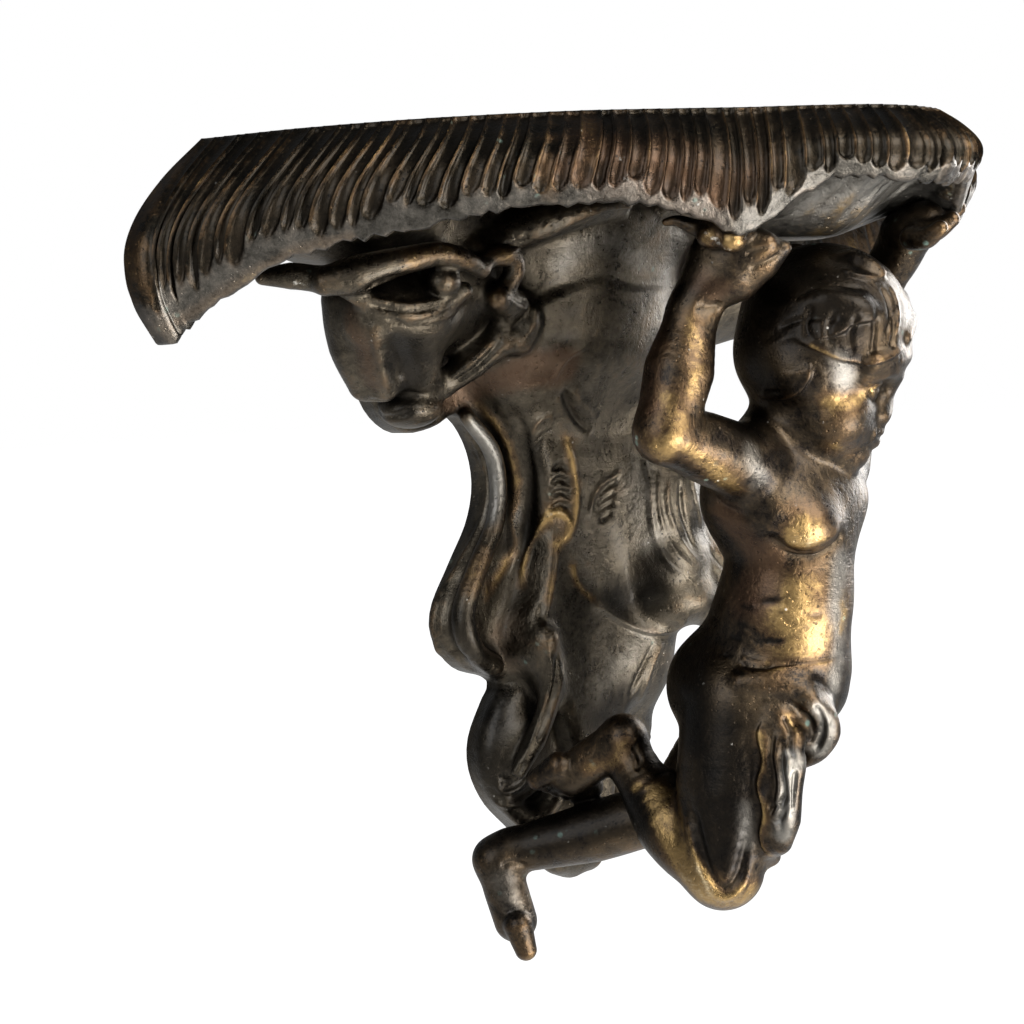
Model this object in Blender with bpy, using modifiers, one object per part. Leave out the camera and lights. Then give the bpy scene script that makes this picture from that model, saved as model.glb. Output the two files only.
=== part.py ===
# Cast bronze wall bracket: a fluted shelf on a scrolled console, held up by a flying child figure.
# Metres, +Z up. The wall is the plane y = 0 and the bracket stands out from it towards -Y.

from math import radians

import bmesh
import bpy
import numpy as np
from mathutils import Matrix, Vector

# Driving dimensions
SHELF_TOP = 0.120
SLAB_THICKNESS = 0.010
CONTACT_GAP = 0.0004
FLUTES_PER_HALF = 50
FLUTE_DEPTH = 0.0020
LIP_WIDTH = 0.0045
RIM_WALL = 0.0080
SOFFIT_LOW = 0.079
PLATE_THICKNESS = 0.013
FIGURE_VOXEL = 0.0021
CONSOLE_VOXEL = 0.0024
FIGURE_TRIANGLES = 3500
CONSOLE_TRIANGLES = 3300


# Curves and numbers along them

def smooth_path(points, count):
    """Catmull-Rom curve through the points, sampled evenly along its length."""
    p = np.array(points, float)
    p = np.vstack([2 * p[0] - p[1], p, 2 * p[-1] - p[-2]])
    run = []
    for a, b, c, d in zip(p[:-3], p[1:-2], p[2:-1], p[3:]):
        t = np.linspace(0, 1, 24, endpoint=False)[:, None]
        run.append(0.5 * (2 * b + (c - a) * t + (2 * a - 5 * b + 4 * c - d) * t ** 2
                          + (3 * b - a - 3 * c + d) * t ** 3))
    run = np.vstack(run + [p[-2:-1]])
    length = np.concatenate([[0], np.cumsum(np.linalg.norm(np.diff(run, axis=0), axis=1))])
    even = np.linspace(0, length[-1], count)
    return np.stack([np.interp(even, length, run[:, i]) for i in range(run.shape[1])], 1)


def ease(t):
    t = np.clip(t, 0, 1)
    return t * t * (3 - 2 * t)


def along(s, stops, values):
    """Value at s, eased between the stops."""
    k = np.clip(np.searchsorted(stops, s, side="right") - 1, 0, len(stops) - 2)
    low, high = np.array(stops)[k], np.array(stops)[k + 1]
    a, b = np.array(values)[k], np.array(values)[k + 1]
    return a + (b - a) * ease((s - low) / (high - low))


# Modelled forms, blended into each other like clay

def strand_distance(p, points, radii):
    nearest = np.full(len(p), 1.0)
    for a, b, ra, rb in zip(points[:-1], points[1:], radii[:-1], radii[1:]):
        run = b - a
        t = np.clip((p - a) @ run / max(run @ run, 1e-12), 0, 1)
        gap = np.linalg.norm(p - a - t[:, None] * run, axis=1) - (ra + (rb - ra) * t)
        nearest = np.minimum(nearest, gap)
    return nearest


def near_only(form, low, high, reach):
    """The form's distance, worked out only for points near its box. Other points are out of its reach."""
    def distance(p):
        found = np.full(len(p), 1.0)
        near = ((p > low - reach) & (p < high + reach)).all(axis=1)
        found[near] = form(p[near])
        return found
    return distance


def ball_distance(p, centre, radii, turn):
    local = (p - centre) @ turn
    k0 = np.linalg.norm(local / radii, axis=1)
    k1 = np.linalg.norm(local / radii ** 2, axis=1)
    return k0 * (k0 - 1) / np.maximum(k1, 1e-9)


def plate_distance(p, outline, half_thickness, edge):
    flat = p[:, [0, 2]]
    nearest = np.full(len(p), 1.0)
    inside = np.zeros(len(p), bool)
    for a, b in zip(outline, np.roll(outline, -1, axis=0)):
        run = b - a
        t = np.clip((flat - a) @ run / (run @ run), 0, 1)
        nearest = np.minimum(nearest, np.linalg.norm(flat - a - t[:, None] * run, axis=1))
        crosses = (a[1] > flat[:, 1]) != (b[1] > flat[:, 1])
        rise = np.where(crosses, b[1] - a[1], 1.0)
        inside ^= crosses & (flat[:, 0] < a[0] + (flat[:, 1] - a[1]) / rise * run[0])
    across = np.where(inside, -nearest, nearest) + edge
    deep = np.abs(p[:, 1]) - half_thickness + edge
    outer = np.hypot(np.maximum(across, 0), np.maximum(deep, 0))
    return outer + np.minimum(np.maximum(across, deep), 0) - edge


class Clay:
    def __init__(self):
        self.forms = []
        self.places = []
        self.faces = []
        self.count = 0
        ball = bmesh.new()
        bmesh.ops.create_icosphere(ball, subdivisions=2, radius=1.0)
        self.ball_places = np.array([v.co for v in ball.verts])
        self.ball_faces = np.array([[v.index for v in f.verts] for f in ball.faces])
        ball.free()

    def add_start(self, places, faces):
        """Adds a closed shape to those that the skin starts from."""
        self.places.append(places)
        self.faces.append(faces + self.count)
        self.count += len(places)

    def add_strand(self, path, thick, blend, adds):
        low, high = path.min(axis=0), path.max(axis=0)
        form = near_only(lambda p: strand_distance(p, path, thick), low, high, max(thick) + 2 * blend)
        self.forms.append((form, blend, adds))

    def add_ball(self, centre, radii, turn, blend, adds):
        place = np.array(centre, float)
        size = np.array(radii, float)
        axes = np.array(turn)
        form = near_only(lambda p: ball_distance(p, place, size, axes), place, place, size.max() + 2 * blend)
        self.forms.append((form, blend, adds))

    def bead(self, centre, radii, turn=Matrix.Identity(3)):
        self.add_start((self.ball_places * radii) @ np.array(turn).T + centre, self.ball_faces)

    def strand(self, points, radii, blend=0.004):
        """A round bar along the points, with a radius at each end or at each point."""
        count = 2 if len(points) == 2 else 5 * len(points)
        path = smooth_path(points, count) if count > 2 else np.array(points, float)
        if len(radii) != len(points):
            radii = np.linspace(radii[0], radii[-1], len(points))
        thick = np.interp(np.linspace(0, 1, count), np.linspace(0, 1, len(radii)), radii)
        for a, b, ra, rb in zip(path[:-1], path[1:], thick[:-1], thick[1:]):
            steps = max(2, int(np.linalg.norm(b - a) / (0.45 * min(ra, rb))) + 1)
            for t in np.linspace(0, 1, steps):
                self.bead(a + (b - a) * t, [ra + (rb - ra) * t] * 3)
        self.add_strand(path, thick, blend, True)

    def ball(self, centre, radii, turn=Matrix.Identity(3), blend=0.006):
        self.bead(centre, radii, turn)
        self.add_ball(centre, radii, turn, blend, True)

    def plate(self, outline, half_thickness, edge, blend=0.004):
        bm = bmesh.new()
        face = bm.faces.new([bm.verts.new((x, -half_thickness, z)) for x, z in outline])
        made = bmesh.ops.extrude_face_region(bm, geom=[face])["geom"]
        moved = [item for item in made if isinstance(item, bmesh.types.BMVert)]
        bmesh.ops.translate(bm, verts=moved, vec=(0, 2 * half_thickness, 0))
        bmesh.ops.triangulate(bm, faces=bm.faces)
        bmesh.ops.recalc_face_normals(bm, faces=bm.faces)
        bm.verts.index_update()
        places = np.array([v.co for v in bm.verts])
        self.add_start(places, np.array([[v.index for v in f.verts] for f in bm.faces]))
        bm.free()
        self.forms.append((lambda p: plate_distance(p, outline, half_thickness, edge), blend, True))

    def groove(self, points, radii, blend=0.003):
        path = smooth_path(points, 5 * len(points)) if len(points) > 2 else np.array(points, float)
        thick = np.interp(np.linspace(0, 1, len(path)), np.linspace(0, 1, len(radii)), radii)
        self.add_strand(path, thick, blend, False)

    def hollow(self, centre, radii, turn=Matrix.Identity(3), blend=0.004):
        self.add_ball(centre, radii, turn, blend, False)

    def distance(self, p):
        total = np.full(len(p), 1.0)
        for form, blend, adds in self.forms:
            other = form(p)
            if adds:
                h = np.clip(0.5 + 0.5 * (total - other) / blend, 0, 1)
                total = total + (other - total) * h - blend * h * (1 - h)
            else:
                h = np.clip(0.5 - 0.5 * (total + other) / blend, 0, 1)
                total = total + (-other - total) * h + blend * h * (1 - h)
        return total

    def skin(self, name, voxel, rounds=4):
        """One closed skin over all the forms: voxels first, then each vertex drawn onto the clay."""
        mesh = bpy.data.meshes.new(name)
        mesh.from_pydata(np.vstack(self.places).tolist(), [], np.vstack(self.faces).tolist())
        rough = bpy.data.objects.new(name, mesh)
        bpy.context.scene.collection.objects.link(rough)
        remesh = rough.modifiers.new("Skin", "REMESH")
        remesh.mode = "VOXEL"
        remesh.voxel_size = voxel
        skin = applied(rough)
        bm = bmesh.new()
        bm.from_mesh(skin.data)
        for turn in range(rounds):
            p = np.array([v.co for v in bm.verts])
            d = self.distance(p)
            step = voxel * 0.2
            slope = np.stack([self.distance(p + np.eye(3)[i] * step) - d for i in range(3)], 1) / step
            slope /= np.maximum((slope ** 2).sum(1), 0.09)[:, None]
            p -= slope * np.clip(d, -voxel, voxel)[:, None]
            for v, co in zip(bm.verts, p):
                v.co = co
            if turn < rounds - 2:
                bmesh.ops.smooth_vert(bm, verts=bm.verts, factor=0.5,
                                      use_axis_x=True, use_axis_y=True, use_axis_z=True)
        bm.to_mesh(skin.data)
        bm.free()
        return skin


def applied(obj):
    """The object with its modifiers made real, the first object removed."""
    graph = bpy.context.evaluated_depsgraph_get()
    mesh = bpy.data.meshes.new_from_object(obj.evaluated_get(graph))
    name = obj.name
    bpy.data.objects.remove(obj)
    mesh.name = name
    real = bpy.data.objects.new(name, mesh)
    bpy.context.scene.collection.objects.link(real)
    return real


def reduced(obj, triangles):
    obj.data.calc_loop_triangles()
    decimate = obj.modifiers.new("Fewer faces", "DECIMATE")
    decimate.ratio = triangles / len(obj.data.loop_triangles)
    decimate.use_collapse_triangulate = True
    return applied(obj)


def cut_flat(obj, point, normal):
    """Cuts away what lies on the normal's side of the plane and closes the cut with a flat face."""
    bm = bmesh.new()
    bm.from_mesh(obj.data)
    geometry = bm.verts[:] + bm.edges[:] + bm.faces[:]
    cut = bmesh.ops.bisect_plane(bm, geom=geometry, dist=1e-5, plane_co=point, plane_no=normal,
                                 clear_outer=True)["geom_cut"]
    rim = [item for item in cut if isinstance(item, bmesh.types.BMEdge)]
    bmesh.ops.triangle_fill(bm, edges=rim, use_beauty=True, use_dissolve=False)
    bmesh.ops.remove_doubles(bm, verts=bm.verts, dist=2e-5)
    bmesh.ops.recalc_face_normals(bm, faces=bm.faces)
    bm.to_mesh(obj.data)
    bm.free()


# The collection and the materials

def new_collection(name):
    made = bpy.data.collections.new(name)
    bpy.context.scene.collection.children.link(made)
    return made


def bronze(name, colour, roughness):
    made = bpy.data.materials.new(name)
    made.use_nodes = True
    shader = made.node_tree.nodes["Principled BSDF"]
    shader.inputs["Base Color"].default_value = (*colour, 1)
    shader.inputs["Roughness"].default_value = roughness
    shader.inputs["Metallic"].default_value = 1.0
    return made


def finish(obj, collection, material, crease=40):
    for other in obj.users_collection:
        other.objects.unlink(obj)
    collection.objects.link(obj)
    obj.data.materials.clear()
    obj.data.materials.append(material)
    obj.data.shade_smooth()
    obj.data.set_sharp_from_angle(angle=radians(crease))


# Shelf: a flat slab with a fluted rim that flares and hangs down on its three free sides

SHELF_PLAN = [(-0.190, 0.000), (-0.179, -0.050), (-0.156, -0.100), (-0.121, -0.143), (-0.086, -0.168),
              (-0.063, -0.183), (-0.042, -0.200), (-0.021, -0.213), (0.000, -0.217)]
RIM_STOPS = [0.00, 0.10, 0.15, 0.20, 0.25, 0.34, 0.51, 0.60, 0.70, 0.745, 0.80, 0.83, 0.86, 1.00]
RIM_HEIGHT = [0.083, 0.071, 0.063, 0.055, 0.049, 0.044, 0.036, 0.036, 0.043, 0.050, 0.040, 0.033, 0.028, 0.031]
FLARE_STOPS = [0.00, 0.05, 0.10, 0.16, 0.34, 0.51, 0.66, 0.775, 0.83, 0.89, 1.00]
RIM_FLARE = [0.043, 0.038, 0.034, 0.030, 0.022, 0.018, 0.016, 0.014, 0.015, 0.017, 0.018]
LEAN_STOPS = [0.00, 0.08, 0.30, 0.45, 0.75, 0.85, 1.00]
LEAN = [0.000, 0.014, 0.015, 0.009, 0.003, 0.000, 0.000]
FLARE_HEIGHTS = [0.00, 0.20, 0.42, 0.60, 0.82, 1.00]
FLARE_SHAPE = [0.00, 0.50, 0.88, 1.00, 0.92, 0.67]


class ShelfEdge:
    """The rim of the left half, from the wall corner to the middle of the front."""

    def __init__(self):
        self.path = smooth_path(SHELF_PLAN, 600)
        run = np.gradient(self.path, axis=0)
        run /= np.linalg.norm(run, axis=1)[:, None]
        self.outward = np.stack([run[:, 1], -run[:, 0]], 1)
        self.outward[0] = (-1, 0)
        self.outward[-1] = (0, -1)
        self.length = np.linalg.norm(np.diff(self.path, axis=0), axis=1).sum()

    def place(self, s):
        at = np.linspace(0, 1, len(self.path))
        point = np.array([np.interp(s, at, self.path[:, i]) for i in range(2)])
        out = np.array([np.interp(s, at, self.outward[:, i]) for i in range(2)])
        return point, out / np.linalg.norm(out)

    def outer(self, s, v, carve):
        """Point of the outer face at s along the edge and v of the way down, carved in by carve."""
        lean = along(s, LEAN_STOPS, LEAN) * ease(v) / self.length
        point, out = self.place(np.clip(s - lean * min(1, s / 0.04), 0, 1))
        flare = along(s, FLARE_STOPS, RIM_FLARE) * along(v, FLARE_HEIGHTS, FLARE_SHAPE)
        x, y = point + out * (flare - carve)
        return np.array([x, min(y, 0), SHELF_TOP - along(s, RIM_STOPS, RIM_HEIGHT) * v])

    def soffit(self, s):
        """0 where the rim is hollow behind, 1 where a leafy soffit fills it at the front."""
        return float(ease((s - 0.60) / 0.16))


def shelf_section(edge, s, ridge):
    """Points of one section from the middle of the top, over the rim, to the middle of the underside."""
    front = edge.soffit(s)
    spine = along(s, [0.0, 0.15, 0.85, 1.0], [0.0, -0.01, -0.13, -0.14])
    point, out = edge.place(s)
    section = [(0, spine, SHELF_TOP)]
    for v in (0.0, 0.16, 0.42, 0.68, 0.90):
        section.append(edge.outer(s, v, 0.0 if ridge else FLUTE_DEPTH * (1 if v > 0 else 0.5)))
    lip = edge.outer(s, 1.0, 0.0)
    section.append(lip)
    inward = np.array([*-out, 0.0])
    if s == 0:
        inward = np.array([1.0, 0, 0])
    section.append(lip + inward * LIP_WIDTH + np.array([0, 0, 0.0008]))
    hollow_edge = np.array([*(point - out * RIM_WALL), SHELF_TOP - SLAB_THICKNESS])
    soffit_edge = np.array([*(lip[:2] + inward[:2] * 0.014), lip[2] + 0.0060])
    shoulder = hollow_edge + (soffit_edge - hollow_edge) * front
    shoulder[1] = min(shoulder[1], 0)
    section.append(shoulder)
    low = SHELF_TOP - SLAB_THICKNESS + (SOFFIT_LOW - SHELF_TOP + SLAB_THICKNESS) * front
    middle = np.array([0, spine, low])
    for t in (0.4, 1.0):
        place = shoulder + (middle - shoulder) * t
        place[2] = shoulder[2] + (middle[2] - shoulder[2]) * ease(t)
        section.append(place)
    return section


def make_shelf(collection, material):
    edge = ShelfEdge()
    stations = 2 * FLUTES_PER_HALF
    bm = bmesh.new()
    rows = []
    for i in range(stations + 1):
        section = shelf_section(edge, i / stations, i % 2 == 0)
        if i == stations:
            section = [(0, y, z) for _, y, z in section]
        rows.append([bm.verts.new(tuple(map(float, place))) for place in section])
    for left, right in zip(rows[:-1], rows[1:]):
        for a, b, c, d in zip(left[:-1], left[1:], right[1:], right[:-1]):
            bm.faces.new((a, b, c, d))
    bm.faces.new(rows[0])
    bmesh.ops.remove_doubles(bm, verts=bm.verts, dist=1e-6)
    bmesh.ops.triangulate(bm, faces=[f for f in bm.faces if len(f.verts) > 3])
    bmesh.ops.recalc_face_normals(bm, faces=bm.faces)
    mesh = bpy.data.meshes.new("shelf")
    bm.to_mesh(mesh)
    bm.free()
    shelf = bpy.data.objects.new("shelf", mesh)
    bpy.context.scene.collection.objects.link(shelf)
    mirror = shelf.modifiers.new("Other half", "MIRROR")
    mirror.use_clip = True
    mirror.merge_threshold = 0.00001
    finish(shelf, collection, material, crease=25)
    return shelf


# Console: a shallow plate with three scrolled lobes on each side, a drum under the shelf and leaves

LOBES = [(-0.142, 0.112), (-0.132, 0.078), (-0.124, 0.055), (-0.118, 0.028), (-0.111, 0.007),
         (-0.095, -0.005), (-0.077, -0.004), (-0.062, 0.001), (-0.050, -0.012), (-0.0455, -0.030), (-0.050, -0.048),
         (-0.062, -0.066), (-0.074, -0.085), (-0.074, -0.100), (-0.062, -0.114), (-0.040, -0.122),
         (-0.045, -0.131), (-0.0545, -0.147), (-0.055, -0.162), (-0.047, -0.178), (-0.034, -0.191),
         (-0.018, -0.205), (0.000, -0.218)]


def console_outline():
    left = smooth_path(LOBES, 50)
    right = left[:-1][::-1] * np.array([-1, 1])
    return np.vstack([left, right])


def console_trunk(clay):
    """The swelling body in the middle, from the drum under the shelf down to the finial."""
    clay.strand([(0, -0.012, 0.060), (0, -0.014, -0.020), (0, -0.012, -0.100), (0, -0.009, -0.190),
                 (0, -0.006, -0.206)], [0.044, 0.028, 0.024, 0.014, 0.009], blend=0.020)
    clay.ball((0, -0.022, 0.086), (0.076, 0.050, 0.042), blend=0.010)
    clay.ball((0, -0.018, 0.034), (0.070, 0.046, 0.034), blend=0.006)
    clay.strand([(-0.008, -0.010, -0.209), (0.010, -0.010, -0.211)], [0.009, 0.009], blend=0.004)
    clay.strand([(-0.004, -0.024, 0.006), (0.000, -0.032, -0.030), (0.000, -0.034, -0.064),
                 (-0.004, -0.030, -0.100), (-0.006, -0.022, -0.140)],
                [0.008, 0.007, 0.007, 0.006, 0.004], blend=0.010)


def console_side(clay, side):
    """One side's lobes, rolled rims, ribs and leaves. side is -1 on the left and 1 on the right."""

    def put(*places):
        return [(side * x, y, z) for x, y, z in places]

    clay.ball((side * 0.112, -0.020, 0.088), (0.070, 0.044, 0.028), blend=0.010)
    clay.ball((side * 0.092, -0.012, 0.060), (0.044, 0.034, 0.034), blend=0.010)
    clay.strand(put((0.112, -0.012, 0.050), (0.106, -0.014, 0.012)), [0.019, 0.013], blend=0.008)
    clay.strand(put((0.090, -0.016, 0.050), (0.090, -0.018, 0.008)), [0.019, 0.012], blend=0.006)
    clay.strand(put((0.176, -0.036, 0.068), (0.150, -0.050, 0.068), (0.124, -0.066, 0.072),
                    (0.104, -0.070, 0.070)), [0.005, 0.007, 0.008, 0.006], blend=0.006)
    clay.strand(put((0.160, -0.036, 0.062), (0.142, -0.042, 0.054), (0.118, -0.050, 0.050),
                    (0.096, -0.056, 0.054)), [0.004, 0.006, 0.007, 0.006], blend=0.005)
    clay.strand(put((0.098, -0.062, 0.068), (0.076, -0.066, 0.084), (0.048, -0.070, 0.097)),
                [0.005, 0.008, 0.007], blend=0.005)
    clay.strand(put((0.064, -0.016, 0.000), (0.049, -0.018, -0.020), (0.049, -0.018, -0.044),
                    (0.063, -0.016, -0.068), (0.072, -0.014, -0.088), (0.066, -0.014, -0.102),
                    (0.050, -0.014, -0.112)),
                [0.005, 0.006, 0.006, 0.006, 0.008, 0.009, 0.007], blend=0.006)
    clay.strand(put((0.040, -0.026, 0.000), (0.028, -0.032, -0.030), (0.027, -0.034, -0.058),
                    (0.036, -0.030, -0.084), (0.050, -0.022, -0.104)),
                [0.006, 0.007, 0.007, 0.006, 0.005], blend=0.008)
    clay.strand(put((0.044, -0.014, -0.126), (0.052, -0.014, -0.150), (0.048, -0.014, -0.170),
                    (0.034, -0.016, -0.180), (0.022, -0.018, -0.174)),
                [0.006, 0.007, 0.008, 0.008, 0.007], blend=0.006)
    clay.strand(put((0.016, -0.028, -0.110), (0.024, -0.026, -0.140), (0.018, -0.020, -0.172)),
                [0.008, 0.008, 0.005], blend=0.008)
    clay.groove(put((0.052, -0.028, -0.012), (0.040, -0.030, -0.034), (0.041, -0.030, -0.060),
                    (0.054, -0.026, -0.086)), [0.003, 0.0045, 0.0045, 0.003], blend=0.004)
    clay.groove(put((0.056, -0.028, 0.020), (0.076, -0.034, 0.034), (0.078, -0.042, 0.046)),
                [0.003, 0.004, 0.003], blend=0.004)


def console_swell(clay):
    """The right flank swells out further than the left, with its lobe set a little higher."""
    clay.ball((0.058, -0.026, -0.046), (0.032, 0.034, 0.050), blend=0.010)
    clay.ball((0.052, -0.020, -0.086), (0.030, 0.026, 0.026), blend=0.008)
    clay.ball((0.038, -0.016, -0.128), (0.026, 0.028, 0.036), blend=0.010)


def make_console(collection, material):
    clay = Clay()
    clay.plate(console_outline(), PLATE_THICKNESS, 0.005)
    console_trunk(clay)
    console_side(clay, -1)
    console_side(clay, 1)
    console_swell(clay)
    console = reduced(clay.skin("console", CONSOLE_VOXEL), CONSOLE_TRIANGLES)
    top = SHELF_TOP - SLAB_THICKNESS - CONTACT_GAP
    cut_flat(console, (0, 0, top), (0, 0, 1))
    cut_flat(console, (0, 0, 0), (0, 1, 0))
    finish(console, collection, material)
    return console


# Child figure: joints first, then the flesh around them. Its right side is at -X, nearest the viewer.

PELVIS = (0.000, -0.128, -0.112)
BELLY = (0.000, -0.131, -0.086)
CHEST = (0.000, -0.141, -0.042)
NECK = (0.002, -0.150, -0.018)
HEAD = (0.005, -0.160, 0.022)
HEAD_TURN = radians(45)
HEAD_NOD = radians(14)
SHOULDER_R = (-0.034, -0.150, -0.025)
ELBOW_R = (-0.080, -0.148, -0.007)
WRIST_R = (-0.064, -0.155, 0.044)
SHOULDER_L = (0.034, -0.146, -0.025)
ELBOW_L = (0.070, -0.128, -0.004)
WRIST_L = (0.062, -0.157, 0.044)
HIP_R = (-0.017, -0.130, -0.124)
KNEE_R = (-0.027, -0.126, -0.196)
ANKLE_R = (-0.029, -0.078, -0.156)
HEEL_R = (-0.029, -0.076, -0.144)
TOES_R = (-0.036, -0.043, -0.172)
HIP_L = (0.016, -0.122, -0.124)
KNEE_L = (-0.006, -0.084, -0.177)
ANKLE_L = (-0.053, -0.024, -0.197)
HEEL_L = (-0.058, -0.020, -0.200)
TOES_L = (-0.050, -0.027, -0.240)


def middle(a, b, t=0.5, push=(0, 0, 0)):
    return tuple(np.array(a) + (np.array(b) - np.array(a)) * t + np.array(push))


def torso(clay):
    clay.strand([PELVIS, BELLY, middle(BELLY, CHEST), CHEST], [0.027, 0.028, 0.025, 0.027], blend=0.012)
    clay.ball(middle(CHEST, CHEST, 0, (0, 0.003, 0.004)), (0.036, 0.025, 0.026), blend=0.012)
    clay.ball((-0.014, -0.163, -0.040), (0.013, 0.009, 0.012), blend=0.008)
    clay.ball((0.014, -0.163, -0.040), (0.013, 0.009, 0.012), blend=0.008)
    clay.ball((0.000, -0.146, -0.084), (0.028, 0.022, 0.026), blend=0.012)
    clay.ball((-0.013, -0.112, -0.122), (0.019, 0.021, 0.021), blend=0.008)
    clay.ball((0.014, -0.110, -0.122), (0.019, 0.021, 0.021), blend=0.008)
    clay.strand([CHEST, NECK, middle(NECK, HEAD, 0.5)], [0.020, 0.016, 0.017], blend=0.008)


def arm(clay, shoulder, elbow, wrist):
    clay.strand([shoulder, middle(shoulder, elbow), elbow], [0.0155, 0.0145, 0.0120], blend=0.008)
    clay.strand([elbow, middle(elbow, wrist, 0.35), wrist], [0.0120, 0.0142, 0.0095], blend=0.006)


def hand(clay, wrist, knuckles, fingers, thumb):
    """A child's hand, bent back with the palm up. fingers are the four tips and thumb the thumb's."""
    clay.strand([wrist, middle(wrist, knuckles), knuckles], [0.0098, 0.0110, 0.0090], blend=0.006)
    for tip in fingers:
        root = middle(knuckles, tip, 0.12)
        joint = middle(root, tip, 0.55, (0, 0, 0.001))
        clay.strand([root, joint, tip], [0.0052, 0.0048, 0.0038], blend=0.003)
    clay.strand([middle(wrist, knuckles, 0.5), thumb], [0.0060, 0.0042], blend=0.004)


def right_hand(clay):
    knuckles = (-0.053, -0.172, 0.061)
    tips = [(-0.060, -0.192, 0.062), (-0.050, -0.196, 0.066), (-0.040, -0.194, 0.068),
            (-0.033, -0.186, 0.066)]
    hand(clay, WRIST_R, knuckles, tips, (-0.044, -0.160, 0.066))
    clay.ball((-0.061, -0.166, 0.0615), (0.009, 0.010, 0.008), blend=0.004)


def left_hand(clay):
    knuckles = (0.058, -0.172, 0.060)
    tips = [(0.066, -0.188, 0.060), (0.060, -0.194, 0.062), (0.051, -0.196, 0.063), (0.043, -0.190, 0.062)]
    hand(clay, WRIST_L, knuckles, tips, (0.046, -0.164, 0.062))
    clay.ball((0.058, -0.176, 0.062), (0.008, 0.008, 0.006), blend=0.004)


def leg(clay, hip, knee, ankle, bulge, stout):
    clay.strand([hip, middle(hip, knee, 0.45), knee],
                [0.0250 * stout, 0.0235 * stout, 0.0175 * stout], blend=0.008)
    calf = middle(knee, ankle, 0.42, bulge)
    clay.strand([knee, calf, ankle], [0.0160 * stout, 0.0160 * stout, 0.0100], blend=0.006)


def foot(clay, ankle, heel, toes, across):
    ball_of_foot = np.array(middle(heel, toes, 0.72))
    clay.strand([ankle, heel], [0.0100, 0.0098], blend=0.004)
    clay.strand([heel, middle(heel, toes, 0.4), ball_of_foot], [0.0096, 0.0100, 0.0098], blend=0.005)
    across = np.array(across)
    for k, size in enumerate((0.0052, 0.0044, 0.0042, 0.0040, 0.0036)):
        side = (k - 1.8) * 0.0052 * across
        tip = np.array(toes) + side * 1.1 - (np.array(toes) - ball_of_foot) * 0.07 * k
        clay.strand([tuple(ball_of_foot + side), tuple(tip)], [0.0068, size], blend=0.003)


def drapery(clay):
    """The narrow cloth that swags across the hips and falls beside the near thigh."""
    clay.strand([(-0.030, -0.118, -0.116), (-0.022, -0.146, -0.122), (0.000, -0.158, -0.126),
                 (0.022, -0.146, -0.120), (0.030, -0.120, -0.112)],
                [0.006, 0.007, 0.008, 0.007, 0.006], blend=0.006)
    clay.strand([(-0.002, -0.154, -0.122), (0.000, -0.156, -0.134), (-0.002, -0.154, -0.146)],
                [0.009, 0.010, 0.006], blend=0.006)
    clay.strand([(-0.016, -0.148, -0.128), (-0.015, -0.150, -0.150), (-0.013, -0.148, -0.172),
                 (-0.018, -0.144, -0.190)], [0.007, 0.008, 0.008, 0.005], blend=0.007)


def head(clay):
    """Skull, face and hair, modelled in the head's own axes and then turned and nodded into place."""
    turn = Matrix.Rotation(HEAD_TURN, 3, "Z") @ Matrix.Rotation(HEAD_NOD, 3, "X")

    def at(x, y, z):
        return tuple(Vector(HEAD) + turn @ Vector((x, y, z)))

    def lump(x, y, z, radii, blend=0.006):
        clay.ball(at(x, y, z), radii, turn, blend)

    lump(0, 0.004, 0.006, (0.0335, 0.0400, 0.0355))
    lump(0, -0.010, -0.016, (0.0275, 0.0270, 0.0280))
    for side in (-1, 1):
        lump(side * 0.0155, -0.0250, -0.0165, (0.0125, 0.0110, 0.0120))
        lump(side * 0.0330, 0.002, -0.0060, (0.0035, 0.0075, 0.0095), 0.003)
        clay.hollow(at(side * 0.0125, -0.0385, -0.0010), (0.0075, 0.0050, 0.0045), turn, 0.004)
        lump(side * 0.0125, -0.0318, -0.0015, (0.0058, 0.0045, 0.0040), 0.002)
    lump(0, -0.0290, 0.0120, (0.0240, 0.0095, 0.0130))
    clay.strand([at(0, -0.0345, 0.0020), at(0, -0.0395, -0.0105)], [0.0028, 0.0046], 0.004)
    lump(0, -0.0330, -0.0240, (0.0085, 0.0060, 0.0060), 0.004)
    lump(0, -0.0285, -0.0375, (0.0090, 0.0080, 0.0070), 0.005)
    clay.groove([at(-0.008, -0.0400, -0.0238), at(0, -0.0410, -0.0245), at(0.008, -0.0400, -0.0238)],
                [0.0010, 0.0016, 0.0010], 0.002)
    locks(clay, at)


def locks(clay, at):
    """Wavy locks swept back from a forelock over the brow."""
    for k in range(11):
        side = (k - 5) / 5
        start = at(side * 0.024, -0.026 + 0.012 * abs(side), 0.026 - 0.016 * abs(side))
        crest = at(side * 0.034, -0.006, 0.036 - 0.018 * abs(side))
        back = at(side * 0.034, 0.026, 0.022 - 0.026 * abs(side))
        nape = at(side * 0.024, 0.036, -0.006 - 0.018 * abs(side))
        clay.strand([start, crest, back, nape], [0.0042, 0.0062, 0.0062, 0.0040], 0.003)
    for x, z, size in ((-0.020, 0.014, 0.0062), (-0.010, 0.020, 0.0068), (0.002, 0.022, 0.0072),
                       (0.013, 0.019, 0.0066), (0.022, 0.012, 0.0058)):
        clay.ball(at(x, -0.0325 + abs(x) * 0.4, z), (size, size, size * 0.8), blend=0.003)


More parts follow.
